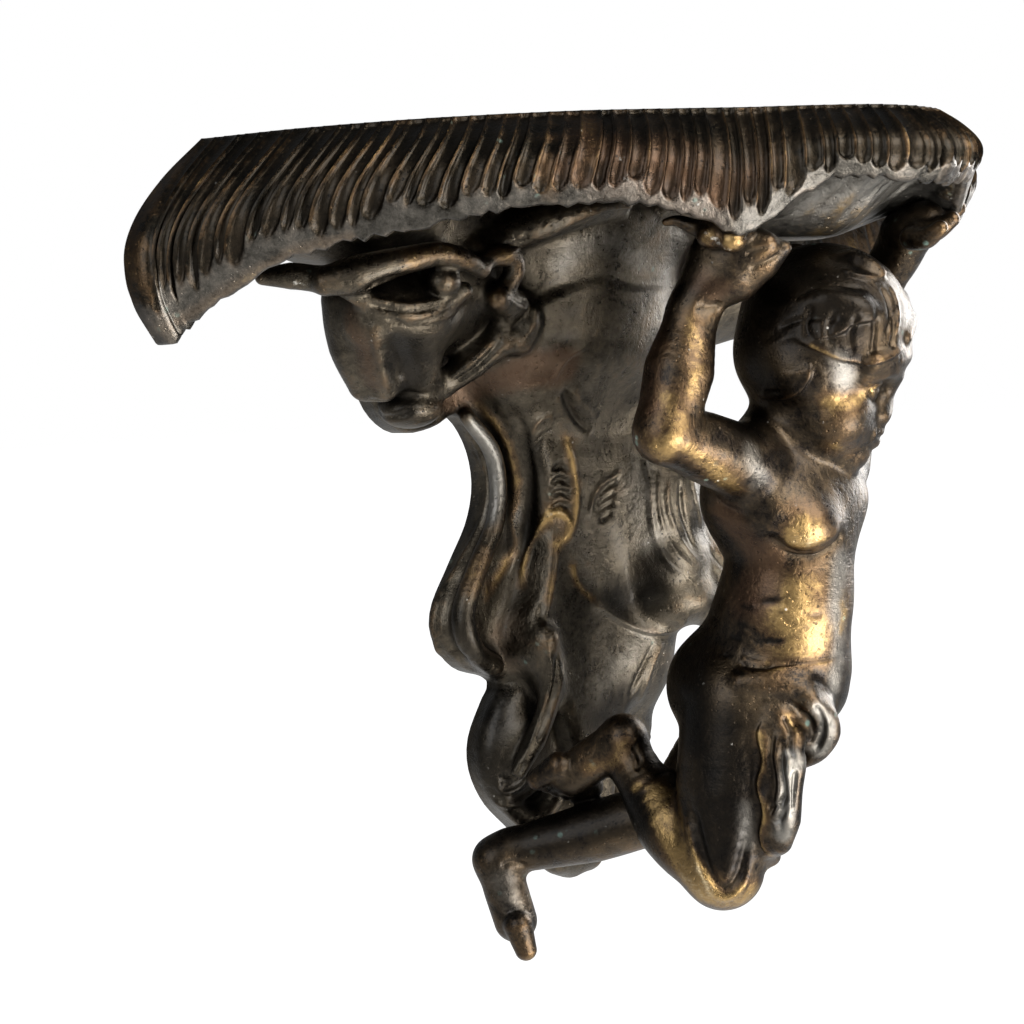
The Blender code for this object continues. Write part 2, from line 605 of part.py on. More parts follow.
def make_putto(collection, material):
    clay = Clay()
    torso(clay)
    arm(clay, SHOULDER_R, ELBOW_R, WRIST_R)
    arm(clay, SHOULDER_L, ELBOW_L, WRIST_L)
    leg(clay, HIP_R, KNEE_R, ANKLE_R, (-0.001, 0.002, -0.004), 1.0)
    leg(clay, HIP_L, KNEE_L, ANKLE_L, (0, 0.002, -0.002), 0.86)
    foot(clay, ANKLE_R, HEEL_R, TOES_R, (0.80, -0.10, -0.55))
    foot(clay, ANKLE_L, HEEL_L, TOES_L, (0.62, 0.78, 0.0))
    drapery(clay)
    head(clay)
    right_hand(clay)
    left_hand(clay)
    putto = reduced(clay.skin("putto", FIGURE_VOXEL), FIGURE_TRIANGLES)
    finish(putto, collection, material)
    return putto


def main():
    for obj in list(bpy.data.objects):
        bpy.data.objects.remove(obj)
    bracket = new_collection("wall_bracket")
    make_shelf(bracket, bronze("shelf_bronze", (0.055, 0.036, 0.022), 0.42))
    make_console(bracket, bronze("console_bronze", (0.070, 0.048, 0.030), 0.40))
    make_putto(bracket, bronze("putto_bronze", (0.120, 0.070, 0.030), 0.34))


main()
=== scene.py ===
# Cast bronze wall bracket: a fluted shelf on a scrolled console, held up by a flying child figure.
# Metres, with the wall at y = 0. The camera stands to the left of the front, a little above the middle.

from math import cos, radians, sin

import bmesh
import bpy
import numpy as np
from mathutils import Matrix, Vector
from mathutils.bvhtree import BVHTree


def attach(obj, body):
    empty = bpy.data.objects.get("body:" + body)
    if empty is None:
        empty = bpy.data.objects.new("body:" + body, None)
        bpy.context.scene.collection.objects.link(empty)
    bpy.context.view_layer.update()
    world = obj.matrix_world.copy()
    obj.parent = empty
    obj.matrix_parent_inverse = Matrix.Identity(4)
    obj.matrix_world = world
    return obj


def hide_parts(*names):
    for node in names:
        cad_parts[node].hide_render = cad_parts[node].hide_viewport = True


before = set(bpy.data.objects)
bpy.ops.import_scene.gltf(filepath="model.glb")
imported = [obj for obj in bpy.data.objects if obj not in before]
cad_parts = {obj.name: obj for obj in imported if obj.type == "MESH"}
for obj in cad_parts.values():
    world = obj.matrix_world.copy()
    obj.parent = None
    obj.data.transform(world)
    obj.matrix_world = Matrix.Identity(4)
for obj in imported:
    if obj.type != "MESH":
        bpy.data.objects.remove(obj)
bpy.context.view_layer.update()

# Camera, floor and lights

cameraSettings = {
    "turn": 45.0,  # degrees round from the front, towards the left
    "pitch": 4.2,
    "roll": 2.3,
    "distance": 1.0,
    "lens": 80.0,
    "target": (-0.061, -0.041, -0.042),
    "sensorWidth": 36.0,
    "imageSize": 1024,
}


def cameraAxes():
    a, p, r = (radians(cameraSettings[k]) for k in ("turn", "pitch", "roll"))
    ahead = np.array([sin(a) * cos(p), cos(a) * cos(p), -sin(p)])
    right = np.array([cos(a), -sin(a), 0.0])
    up = np.cross(right, ahead)
    right, up = right * cos(r) - up * sin(r), up * cos(r) + right * sin(r)
    return ahead, right, up


def cameraPlace():
    return np.array(cameraSettings["target"]) - cameraAxes()[0] * cameraSettings["distance"]


def makeCamera():
    ahead, right, up = cameraAxes()
    data = bpy.data.cameras.new("camera")
    data.lens = cameraSettings["lens"]
    data.sensor_width = cameraSettings["sensorWidth"]
    data.clip_start = 0.05
    camera = bpy.data.objects.new("camera", data)
    bpy.context.scene.collection.objects.link(camera)
    turned = Matrix((right, up, -ahead)).transposed().to_4x4()
    camera.matrix_world = Matrix.Translation(cameraPlace()) @ turned
    bpy.context.scene.camera = camera


def sightLine(px, py):
    # start and direction of the line of sight through a place in the picture
    ahead, right, up = cameraAxes()
    half = cameraSettings["imageSize"] / 2
    focal = cameraSettings["lens"] / cameraSettings["sensorWidth"] * cameraSettings["imageSize"]
    ray = ahead + right * (px - half) / focal - up * (py - half) / focal
    return cameraPlace(), ray / np.linalg.norm(ray)


def seenAt(px, py, y):
    # the place at depth y, parallel to the wall, that the camera sees there
    start, ray = sightLine(px, py)
    return tuple(start + ray * (y - start[1]) / ray[1])


stageSettings = {
    "floorHeight": -1.30,
    "floorColour": (0.90, 0.90, 0.89),
    "worldSeen": 1.0,
    "worldGlow": 0.17,
    "floorBounce": 0.22,
    "aim": (-0.02, -0.09, -0.05),
    "lights": [  # name, place, width and height, power, colour
        ("keyLight", (0.10, -1.50, 0.70), (1.0, 1.0), 38.0, (1.0, 0.97, 0.92)),
        ("fillLight", (-1.40, -0.35, 0.45), (0.8, 1.2), 13.0, (0.93, 0.96, 1.0)),
        ("lowLight", (0.20, -1.30, -0.60), (1.0, 0.5), 34.0, (1.0, 0.98, 0.95)),
        ("backLight", (1.25, -0.20, 0.30), (0.5, 0.9), 15.0, (1.0, 0.98, 0.95)),
    ],
}


def areaLight(name, place, aim, size, power, colour):
    data = bpy.data.lights.new(name, "AREA")
    data.shape = "RECTANGLE"
    data.size, data.size_y = size
    data.energy = power
    data.color = colour
    lamp = bpy.data.objects.new(name, data)
    lamp.location = place
    lamp.rotation_euler = (Vector(aim) - Vector(place)).to_track_quat("-Z", "Y").to_euler()
    bpy.context.scene.collection.objects.link(lamp)


def makeStage():
    floorMesh = bpy.data.meshes.new("floor")
    bm = bmesh.new()
    bmesh.ops.create_grid(bm, x_segments=2, y_segments=2, size=30.0)
    bmesh.ops.translate(bm, verts=bm.verts, vec=(0, 0, stageSettings["floorHeight"]))
    bm.to_mesh(floorMesh)
    bm.free()
    floor = bpy.data.objects.new("floor", floorMesh)
    bpy.context.scene.collection.objects.link(floor)
    pale = bpy.data.materials.new("paleFloor")
    pale.use_nodes = True
    shader = pale.node_tree.nodes["Principled BSDF"]
    shader.inputs["Base Color"].default_value = (*stageSettings["floorColour"], 1)
    shader.inputs["Roughness"].default_value = 0.9
    nodes, links = pale.node_tree.nodes, pale.node_tree.links
    seenRay = nodes.new("ShaderNodeLightPath")
    glowing = nodes.new("ShaderNodeMix")
    glowing.data_type = "RGBA"
    glowing.inputs[6].default_value = (*[stageSettings["floorBounce"]] * 3, 1)
    glowing.inputs[7].default_value = (1, 1, 1, 1)
    links.new(seenRay.outputs["Is Camera Ray"], glowing.inputs[0])
    links.new(glowing.outputs[2], shader.inputs["Emission Color"])
    shader.inputs["Emission Strength"].default_value = 1.0
    floor.data.materials.append(pale)

    world = bpy.data.worlds.new("studio")
    bpy.context.scene.world = world
    world.use_nodes = True
    tree = world.node_tree
    tree.nodes.clear()
    seen = tree.nodes.new("ShaderNodeBackground")
    seen.inputs["Strength"].default_value = stageSettings["worldSeen"]
    glow = tree.nodes.new("ShaderNodeBackground")
    glow.inputs["Color"].default_value = (0.96, 0.98, 1.0, 1)
    glow.inputs["Strength"].default_value = stageSettings["worldGlow"]
    seen.inputs["Color"].default_value = (1, 1, 1, 1)
    path = tree.nodes.new("ShaderNodeLightPath")
    pick = tree.nodes.new("ShaderNodeMixShader")
    out = tree.nodes.new("ShaderNodeOutputWorld")
    tree.links.new(path.outputs["Is Camera Ray"], pick.inputs["Fac"])
    tree.links.new(glow.outputs[0], pick.inputs[1])
    tree.links.new(seen.outputs[0], pick.inputs[2])
    tree.links.new(pick.outputs[0], out.inputs["Surface"])

    for name, place, size, power, colour in stageSettings["lights"]:
        areaLight(name, place, stageSettings["aim"], size, power, colour)


makeCamera()
makeStage()
bpy.context.scene.view_settings.view_transform = "Standard"
print("camera and studio made")

# Curves and numbers along them


def smoothPath(points, count):
    p = np.array(points, float)
    p = np.vstack([2 * p[0] - p[1], p, 2 * p[-1] - p[-2]])
    run = []
    for a, b, c, d in zip(p[:-3], p[1:-2], p[2:-1], p[3:]):
        t = np.linspace(0, 1, 24, endpoint=False)[:, None]
        run.append(0.5 * (2 * b + (c - a) * t + (2 * a - 5 * b + 4 * c - d) * t ** 2
                          + (3 * b - a - 3 * c + d) * t ** 3))
    run = np.vstack(run + [p[-2:-1]])
    length = np.concatenate([[0], np.cumsum(np.linalg.norm(np.diff(run, axis=0), axis=1))])
    even = np.linspace(0, length[-1], count)
    return np.stack([np.interp(even, length, run[:, i]) for i in range(run.shape[1])], 1)


def ease(t):
    t = np.clip(t, 0, 1)
    return t * t * (3 - 2 * t)


def along(s, stops, values):
    # smooth curve through the values, without overshoot where neighbours are level
    x, y = np.array(stops, float), np.array(values, float)
    rise = np.diff(y) / np.diff(x)
    slope = np.concatenate([[rise[0]], np.where(rise[:-1] * rise[1:] > 0, (rise[:-1] + rise[1:]) / 2, 0),
                            [rise[-1]]])
    k = np.clip(np.searchsorted(x, s, side="right") - 1, 0, len(x) - 2)
    wide = x[k + 1] - x[k]
    t = np.clip((s - x[k]) / wide, 0, 1)
    return ((1 + 2 * t) * (1 - t) ** 2 * y[k] + t * (1 - t) ** 2 * wide * slope[k]
            + t ** 2 * (3 - 2 * t) * y[k + 1] + t ** 2 * (t - 1) * wide * slope[k + 1])


def middle(a, b, t=0.5, push=(0, 0, 0)):
    return tuple(np.array(a) + (np.array(b) - np.array(a)) * t + np.array(push))


# Mesh helpers


def link(name, mesh):
    made = bpy.data.objects.new(name, mesh)
    bpy.context.scene.collection.objects.link(made)
    return made


def applied(piece):
    graph = bpy.context.evaluated_depsgraph_get()
    mesh = bpy.data.meshes.new_from_object(piece.evaluated_get(graph))
    name = piece.name
    bpy.data.objects.remove(piece)
    mesh.name = name
    return link(name, mesh)


def places(mesh):
    p = np.zeros(len(mesh.vertices) * 3)
    mesh.vertices.foreach_get("co", p)
    return p.reshape(-1, 3)


def setPlaces(mesh, p):
    mesh.vertices.foreach_set("co", np.ascontiguousarray(p, np.float32).ravel())
    mesh.update()


def normals(mesh):
    n = np.zeros(len(mesh.vertices) * 3)
    mesh.vertex_normals.foreach_get("vector", n)
    return n.reshape(-1, 3)


def edgePairs(mesh):
    e = np.zeros(len(mesh.edges) * 2, int)
    mesh.edges.foreach_get("vertices", e)
    return e.reshape(-1, 2)


def relaxed(p, pairs, factor=0.5, times=1):
    # each value drawn towards the mean of its neighbours'
    a = np.concatenate([pairs[:, 0], pairs[:, 1]])
    b = np.concatenate([pairs[:, 1], pairs[:, 0]])
    count = np.maximum(np.bincount(a, minlength=len(p)), 1)
    for _ in range(times):
        if p.ndim == 1:
            mean = np.bincount(a, p[b], minlength=len(p)) / count
        else:
            mean = np.stack([np.bincount(a, p[b, i], minlength=len(p)) for i in range(3)], 1) / count[:, None]
        p = p + (mean - p) * factor
    return p


def sheltered(mesh, trees, reach=0.040, count=14):
    # share of the sky above each vertex that is hidden close by, which the colour paints as shade
    p, n = places(mesh), normals(mesh)
    helper = np.where(np.abs(n[:, :1]) < 0.7, np.array([[1.0, 0, 0]]), np.array([[0, 1.0, 0]]))
    one = np.cross(n, helper)
    one /= np.maximum(np.linalg.norm(one, axis=1), 1e-9)[:, None]
    two = np.cross(n, one)
    spin = np.random.default_rng(5).uniform(0, 6.28, len(p))
    starts = (p + n * 0.0008).tolist()
    hidden = np.zeros(len(p))
    for k in range(count):
        out = np.sqrt((k + 0.5) / count)
        angle = k * 2.39996 + spin
        across = one * (out * np.cos(angle))[:, None] + two * (out * np.sin(angle))[:, None]
        way = across + n * np.sqrt(1 - out ** 2)
        for i, (start, ray) in enumerate(zip(starts, way.tolist())):
            for tree in trees:
                far = tree.ray_cast(start, ray, reach)[3]
                if far is not None:
                    hidden[i] += 1 - 0.5 * far / reach
                    break
    return hidden / count


def reduced(piece, triangles):
    piece.data.calc_loop_triangles()
    now = len(piece.data.loop_triangles)
    if now <= triangles:
        return piece
    fewer = piece.modifiers.new("fewer faces", "DECIMATE")
    fewer.ratio = triangles / now
    fewer.use_collapse_triangulate = True
    return applied(piece)


def cutFlat(piece, point, normal):
    bm = bmesh.new()
    bm.from_mesh(piece.data)
    geometry = bm.verts[:] + bm.edges[:] + bm.faces[:]
    cut = bmesh.ops.bisect_plane(bm, geom=geometry, dist=1e-5, plane_co=point, plane_no=normal,
                                 clear_outer=True)["geom_cut"]
    rim = [item for item in cut if isinstance(item, bmesh.types.BMEdge)]
    bmesh.ops.triangle_fill(bm, edges=rim, use_beauty=True, use_dissolve=False)
    bmesh.ops.remove_doubles(bm, verts=bm.verts, dist=2e-5)
    bmesh.ops.recalc_face_normals(bm, faces=bm.faces)
    bm.to_mesh(piece.data)
    bm.free()


def dress(piece, node, material):
    piece.data.materials.clear()
    piece.data.materials.append(material)
    piece.data.shade_smooth()
    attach(piece, "root")
    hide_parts(node)
    piece.data.calc_loop_triangles()
    print(piece.name, "done with", len(piece.data.loop_triangles), "triangles")


# Modelled forms, blended into each other like clay


def strandDistance(p, path, thick):
    nearest = np.full(len(p), 1.0)
    for a, b, ra, rb in zip(path[:-1], path[1:], thick[:-1], thick[1:]):
        run = b - a
        t = np.clip((p - a) @ run / max(run @ run, 1e-12), 0, 1)
        gap = np.linalg.norm(p - a - t[:, None] * run, axis=1) - (ra + (rb - ra) * t)
        nearest = np.minimum(nearest, gap)
    return nearest


def ballDistance(p, centre, radii, turn):
    local = (p - centre) @ turn
    k0 = np.linalg.norm(local / radii, axis=1)
    k1 = np.linalg.norm(local / radii ** 2, axis=1)
    return k0 * (k0 - 1) / np.maximum(k1, 1e-9)


class Clay:
    def __init__(self):
        self.forms = []
        self.starts = []
        self.faces = []
        self.count = 0
        ball = bmesh.new()
        bmesh.ops.create_icosphere(ball, subdivisions=2, radius=1.0)
        self.ballPlaces = np.array([v.co for v in ball.verts])
        self.ballFaces = np.array([[v.index for v in f.verts] for f in ball.faces])
        ball.free()

    def addStart(self, p, faces):
        self.starts.append(p)
        self.faces.append(faces + self.count)
        self.count += len(p)

    def addForm(self, form, low, high, reach, blend, adds):
        self.forms.append((form, low - reach, high + reach, blend, adds))

    def addStrand(self, path, thick, blend, adds):
        reach = max(thick) + 2 * blend
        self.addForm(lambda p: strandDistance(p, path, thick), path.min(axis=0), path.max(axis=0), reach,
                     blend, adds)

    def addBall(self, centre, radii, turn, blend, adds):
        place, size, axes = np.array(centre, float), np.array(radii, float), np.array(turn)
        self.addForm(lambda p: ballDistance(p, place, size, axes), place, place, size.max() + 2 * blend,
                     blend, adds)

    def bead(self, centre, radii, turn=Matrix.Identity(3)):
        self.addStart((self.ballPlaces * radii) @ np.array(turn).T + centre, self.ballFaces)

    def strand(self, points, radii, blend=0.004):
        count = 2 if len(points) == 2 else 5 * len(points)
        path = smoothPath(points, count) if count > 2 else np.array(points, float)
        if len(radii) != len(points):
            radii = np.linspace(radii[0], radii[-1], len(points))
        thick = np.interp(np.linspace(0, 1, count), np.linspace(0, 1, len(radii)), radii)
        for a, b, ra, rb in zip(path[:-1], path[1:], thick[:-1], thick[1:]):
            steps = max(2, int(np.linalg.norm(b - a) / (0.45 * min(ra, rb))) + 1)
            for t in np.linspace(0, 1, steps):
                self.bead(a + (b - a) * t, [ra + (rb - ra) * t + blend * 0.25] * 3)
        self.addStrand(path, thick, blend, True)

    def ball(self, centre, radii, turn=Matrix.Identity(3), blend=0.006):
        self.bead(centre, np.array(radii) + blend * 0.25, turn)
        self.addBall(centre, radii, turn, blend, True)

    def plate(self, outline, halfThickness, edge, blend=0.004):
        # a flat plate with a rounded edge, whose distance comes from a fine grid over the outline
        bm = bmesh.new()
        face = bm.faces.new([bm.verts.new((x, -halfThickness, z)) for x, z in outline])
        made = bmesh.ops.extrude_face_region(bm, geom=[face])["geom"]
        moved = [item for item in made if isinstance(item, bmesh.types.BMVert)]
        bmesh.ops.translate(bm, verts=moved, vec=(0, 2 * halfThickness, 0))
        bmesh.ops.triangulate(bm, faces=bm.faces)
        bmesh.ops.recalc_face_normals(bm, faces=bm.faces)
        bm.verts.index_update()
        self.addStart(np.array([v.co for v in bm.verts]),
                      np.array([[v.index for v in f.verts] for f in bm.faces]))
        bm.free()
        low, step = outline.min(axis=0) - 0.012, 0.001
        size = np.ceil((outline.max(axis=0) + 0.012 - low) / step).astype(int) + 1
        gx, gz = np.meshgrid(np.arange(size[0]), np.arange(size[1]), indexing="ij")
        flat = np.stack([gx.ravel(), gz.ravel()], 1) * step + low
        nearest = np.full(len(flat), 1.0)
        inside = np.zeros(len(flat), bool)
        for a, b in zip(outline, np.roll(outline, -1, axis=0)):
            run = b - a
            t = np.clip((flat - a) @ run / (run @ run), 0, 1)
            nearest = np.minimum(nearest, np.linalg.norm(flat - a - t[:, None] * run, axis=1))
            crosses = (a[1] > flat[:, 1]) != (b[1] > flat[:, 1])
            rise = np.where(crosses, b[1] - a[1], 1.0)
            inside ^= crosses & (flat[:, 0] < a[0] + (flat[:, 1] - a[1]) / rise * run[0])
        grid = np.where(inside, -nearest, nearest).reshape(size)

        def distance(p):
            g = np.clip((p[:, [0, 2]] - low) / step, 0, size - 1.001)
            i = g.astype(int)
            f = g - i
            a, b = grid[i[:, 0], i[:, 1]], grid[i[:, 0] + 1, i[:, 1]]
            c, d = grid[i[:, 0], i[:, 1] + 1], grid[i[:, 0] + 1, i[:, 1] + 1]
            across = ((a * (1 - f[:, 0]) + b * f[:, 0]) * (1 - f[:, 1])
                      + (c * (1 - f[:, 0]) + d * f[:, 0]) * f[:, 1])
            across = across + edge
            deep = np.abs(p[:, 1]) - halfThickness + edge
            outer = np.hypot(np.maximum(across, 0), np.maximum(deep, 0))
            return outer + np.minimum(np.maximum(across, deep), 0) - edge

        self.addForm(distance, np.full(3, -1.0), np.full(3, 1.0), 0, blend, True)

    def groove(self, points, radii, blend=0.003):
        path = smoothPath(points, 5 * len(points)) if len(points) > 2 else np.array(points, float)
        thick = np.interp(np.linspace(0, 1, len(path)), np.linspace(0, 1, len(radii)), radii)
        self.addStrand(path, thick, blend, False)

    def hollow(self, centre, radii, turn=Matrix.Identity(3), blend=0.004):
        self.addBall(centre, radii, turn, blend, False)

    def distance(self, p, nearby):
        total = np.full(len(p), 1.0)
        for (form, _, _, blend, adds), near in zip(self.forms, nearby):
            if not len(near):
                continue
            other = form(p[near])
            now = total[near]
            if adds:
                h = np.clip(0.5 + 0.5 * (now - other) / blend, 0, 1)
                total[near] = now + (other - now) * h - blend * h * (1 - h)
            else:
                h = np.clip(0.5 - 0.5 * (now + other) / blend, 0, 1)
                total[near] = now + (-other - now) * h + blend * h * (1 - h)
        return total

    def met(self, start, way, lift=0.0):
        # where a line from outside first meets the clay so far, or comes nearest to it
        start, way = np.array(start, float), np.array(way, float) / np.linalg.norm(way)
        run, best, nearest = 0.0, 0.0, 1.0
        for _ in range(220):
            gap = min(0.01, self.distance((start + way * run)[None], self.near(start + way * run))[0])
            if gap < nearest:
                nearest, best = gap, run
            if gap < 0.00003:
                break
            run += max(gap * 0.85, 0.00002)
        return tuple(start + way * (best - lift))

    def near(self, place):
        return [np.array([0]) if ((place > low) & (place < high)).all() else np.array([], int)
                for _, low, high, _, _ in self.forms]

    def seen(self, lift, *points):
        # places on the clay so far that the camera sees at these places of the picture
        found = []
        for px, py in points:
            start, ray = sightLine(px, py)
            found.append(self.met(start, ray, lift))
        return found

    def skin(self, name, voxel, rounds=5):
        # one closed skin over all the forms: voxels first, then each vertex drawn onto the clay
        mesh = bpy.data.meshes.new(name)
        mesh.from_pydata(np.vstack(self.starts).tolist(), [], np.vstack(self.faces).tolist())
        rough = link(name, mesh)
        remesh = rough.modifiers.new("skin", "REMESH")
        remesh.mode = "VOXEL"
        remesh.voxel_size = voxel
        skin = applied(rough)
        p, pairs = places(skin.data), edgePairs(skin.data)
        for turn in range(rounds):
            nearby = [np.nonzero(((p > low) & (p < high)).all(axis=1))[0]
                      for _, low, high, _, _ in self.forms]
            d = self.distance(p, nearby)
            step = voxel * 0.2
            slope = np.stack([self.distance(p + np.eye(3)[i] * step, nearby) - d for i in range(3)], 1) / step
            slope /= np.maximum((slope ** 2).sum(1), 0.09)[:, None]
            p = p - slope * np.clip(d, -0.0025, 0.0025)[:, None]
            if turn < rounds - 1:
                p = relaxed(p, pairs, 0.5, 2 if turn == 0 else 1)
        setPlaces(skin.data, p)
        return skin


# Fine relief, pressed into or raised from a finished skin


class Relief:
    def __init__(self, piece):
        self.piece = piece
        self.mesh = piece.data
        self.p = places(self.mesh)
        self.n = normals(self.mesh)
        self.pairs = edgePairs(self.mesh)
        bpy.context.view_layer.update()
        self.tree = BVHTree.FromObject(piece, bpy.context.evaluated_depsgraph_get())
        self.masks = {}

    def seen(self, points):
        # places on the piece that the camera sees at these places of the picture
        found = []
        for px, py in points:
            start, ray = sightLine(px, py)
            hit = self.tree.ray_cast(Vector(start), Vector(ray))[0]
            if hit is not None:
                found.append(tuple(hit))
        return found

    def facing(self, points, way):
        # places on the piece met by lines along way, which start well outside it
        found = []
        for place in points:
            hit = self.tree.ray_cast(Vector(place) - Vector(way) * 0.5, Vector(way))[0]
            if hit is not None:
                found.append(tuple(hit))
        return found

    def spread(self, path, width, reach=3.0):
        # the vertices near a path, with their distance, side and place along it
        low, high = path.min(axis=0) - reach * width, path.max(axis=0) + reach * width
        near = np.nonzero(((self.p > low) & (self.p < high)).all(axis=1))[0]
        q = self.p[near]
        best = np.full(len(q), 1.0)
        side = np.zeros(len(q))
        part = np.zeros(len(q))
        if len(path) == 1:
            return near, np.linalg.norm(q - path[0], axis=1), side, part + 0.5
        for k, (a, b) in enumerate(zip(path[:-1], path[1:])):
            run = b - a
            t = np.clip((q - a) @ run / max(run @ run, 1e-14), 0, 1)
            gap = q - a - t[:, None] * run
            far = np.linalg.norm(gap, axis=1)
            closer = far < best
            best[closer] = far[closer]
            turned = np.cross(run, gap)
            side[closer] = np.sign((turned * self.n[near]).sum(1))[closer]
            part[closer] = ((k + t) / (len(path) - 1))[closer]
        return near, best, side, part

    def line(self, path, width, height, ends=0.18):
        # a ridge along the path, or a groove where height is negative, both in millimetres
        if len(path) < 2:
            return
        run = smoothPath(path, max(8, 4 * len(path)))
        width, height = width / 1000, height / 1000
        near, far, _, part = self.spread(run, width)
        fade = ease(np.minimum(part, 1 - part) / max(ends, 1e-6))
        self.p[near] += self.n[near] * (height * np.exp(-(far / width) ** 2) * fade)[:, None]

    def layer(self, path, width, height, ends=0.15, edge=0.7):
        # a leaf edge: the surface left of the path stands proud with an abrupt rim and falls away from it
        if len(path) < 2:
            return
        run = smoothPath(path, max(8, 4 * len(path)))
        width, height, edge = width / 1000, height / 1000, edge / 1000
        near, far, side, part = self.spread(run, width)
        fade = ease(np.minimum(part, 1 - part) / max(ends, 1e-6))
        signed = far * side
        rise = ease((signed + edge) / (2 * edge)) * np.exp(-(np.maximum(signed, 0) / width) ** 2)
        self.p[near] += self.n[near] * (height * rise * fade)[:, None]

    def mark(self, name, path, width, amount):
        # adds to a mask round a path, its width in millimetres
        if not len(path):
            return
        if name not in self.masks:
            self.masks[name] = np.zeros(len(self.p))
        run = smoothPath(path, max(8, 4 * len(path))) if len(path) > 1 else np.array(path, float)
        near, far, _, _ = self.spread(run, width / 1000, 2.4)
        self.masks[name][near] = np.maximum(self.masks[name][near],
                                            amount * np.exp(-(far * 1000 / width) ** 2))

    def settle(self, times=1, factor=0.3):
        self.p = relaxed(self.p, self.pairs, factor, times)
        self.update()

    def update(self):
        setPlaces(self.mesh, self.p)
        self.n = normals(self.mesh)

    def finish(self, scale=1.0, others=()):
        # writes the places and the masks, with the crests and hollows found from the shape itself and the
        # occlusion, painted as shade
        self.update()
        gap = self.p[self.pairs[:, 0]] - self.p[self.pairs[:, 1]]
        spacing = np.median(np.linalg.norm(gap, axis=1)) * 1000
        times = int(np.clip(4 * (1.2 * scale / spacing) ** 2, 2, 40))
        fine = relaxed(self.p, self.pairs, 0.5, times)
        broad = relaxed(fine, self.pairs, 0.5, times * 5)
        fineBulge = ((self.p - fine) * self.n).sum(1) * 1000
        broadBulge = ((fine - broad) * self.n).sum(1) * 1000
        self.masks["crest"] = np.clip(fineBulge / 0.22, 0, 1) * 0.6 + np.clip(broadBulge / 0.9, 0, 1) * 0.4
        self.masks["hollow"] = np.clip(-fineBulge / 0.20, 0, 1) * 0.5 + np.clip(-broadBulge / 0.7, 0, 1) * 0.6
        self.tree = BVHTree.FromPolygons(self.p.tolist(), [tuple(f.vertices) for f in self.mesh.polygons])
        # occlusion by this piece and the ones made before it, painted as shade in the colour
        paintedOcclusion = sheltered(self.mesh, (self.tree, *others), count=9)
        self.masks["paintedOcclusion"] = relaxed(paintedOcclusion, self.pairs, 0.5, 3)
        for name in ("rub", "russet", "sheen", "pale", "dark"):
            self.masks.setdefault(name, np.zeros(len(self.p)))
        for name, values in self.masks.items():
            values = relaxed(np.clip(values, 0, 1), self.pairs, 0.5, 1)
            attribute = self.mesh.attributes.new(name, "FLOAT", "POINT")
            attribute.data.foreach_set("value", values.astype(np.float32))


# Materials


class Wire:
    # a socket's value in a sum written as Python, where each operator adds its Math node

    def __init__(self, finish, socket):
        self.finish = finish
        self.socket = socket

    def math(self, operation, *others):
        return self.finish.node("ShaderNodeMath", {"operation": operation}, dict(enumerate((self, *others))))

    def __add__(self, other):
        return self.math("ADD", other)

    def __radd__(self, other):
        return self.math("ADD", other)

    def __sub__(self, other):
        return self.math("SUBTRACT", other)

    def __rsub__(self, other):
        return self.finish.node("ShaderNodeMath", {"operation": "SUBTRACT"}, {0: other, 1: self})

    def __mul__(self, other):
        return self.math("MULTIPLY", other)

    def __rmul__(self, other):
        return self.math("MULTIPLY", other)

    def most(self, other):
        return self.math("MAXIMUM", other)

    def between(self, low, high):
        # 0 below low, 1 above high, eased in between
        return self.finish.node("ShaderNodeMapRange", {"interpolation_type": "SMOOTHSTEP"},
                                {"Value": self, "From Min": low, "From Max": high}, "Result")


class Finish:
    # a material under construction

    def __init__(self, name):
        self.material = bpy.data.materials.new(name)
        self.material.use_nodes = True
        self.tree = self.material.node_tree
        self.shader = self.tree.nodes["Principled BSDF"]
        self.objectSpace = self.node("ShaderNodeTexCoord", {}, {}, "Object")

    def node(self, kind, settings, inputs, output=0):
        made = self.tree.nodes.new(kind)
        for name, value in settings.items():
            setattr(made, name, value)
        for name, value in inputs.items():
            self.put(made.inputs[name], value)
        return Wire(self, made.outputs[output])

    def put(self, socket, value):
        if isinstance(value, Wire):
            self.tree.links.new(value.socket, socket)
        elif isinstance(value, tuple) and len(value) == 3 and socket.type == "RGBA":
            socket.default_value = (*value, 1)
        else:
            socket.default_value = value

    def attribute(self, name):
        return self.node("ShaderNodeAttribute", {"attribute_name": name}, {}, "Fac")

    def noise(self, scale, detail=4.0, rough=0.55, stretch=None, distortion=0.0):
        where = self.objectSpace
        if stretch:
            where = self.node("ShaderNodeMapping", {},
                              {"Vector": where, "Scale": stretch[0], "Rotation": stretch[1]})
        return self.node("ShaderNodeTexNoise", {}, {"Vector": where, "Scale": scale, "Detail": detail,
                                                    "Roughness": rough, "Distortion": distortion}, "Fac")

    def specks(self, scale, size):
        # 1 in scattered round specks, 0 elsewhere
        far = self.node("ShaderNodeTexVoronoi", {}, {"Vector": self.objectSpace, "Scale": scale}, "Distance")
        return 1 - far.between(size * 0.4, size)

    def blend(self, amount, below, above):
        made = self.tree.nodes.new("ShaderNodeMix")
        made.data_type = "RGBA"
        self.put(made.inputs[0], amount)
        self.put(made.inputs[6], below)
        self.put(made.inputs[7], above)
        return Wire(self, made.outputs[2])


# black also paints shade, grey paints sheen as a painted reflection, and pale gold paints highlights as well
# as polish
bronzeColours = {
    "black": (0.007, 0.006, 0.005),
    "brown": (0.105, 0.062, 0.030),
    "russet": (0.082, 0.044, 0.025),
    "gold": (0.275, 0.180, 0.072),
    "paleGold": (0.56, 0.44, 0.27),
    "sheenGrey": (0.200, 0.190, 0.170),
    "verdigris": (0.150, 0.260, 0.220),
    "chalk": (0.52, 0.50, 0.45),
}

bronzeBump = {
    "strength": 0.8,
    "height": 0.0013,
}


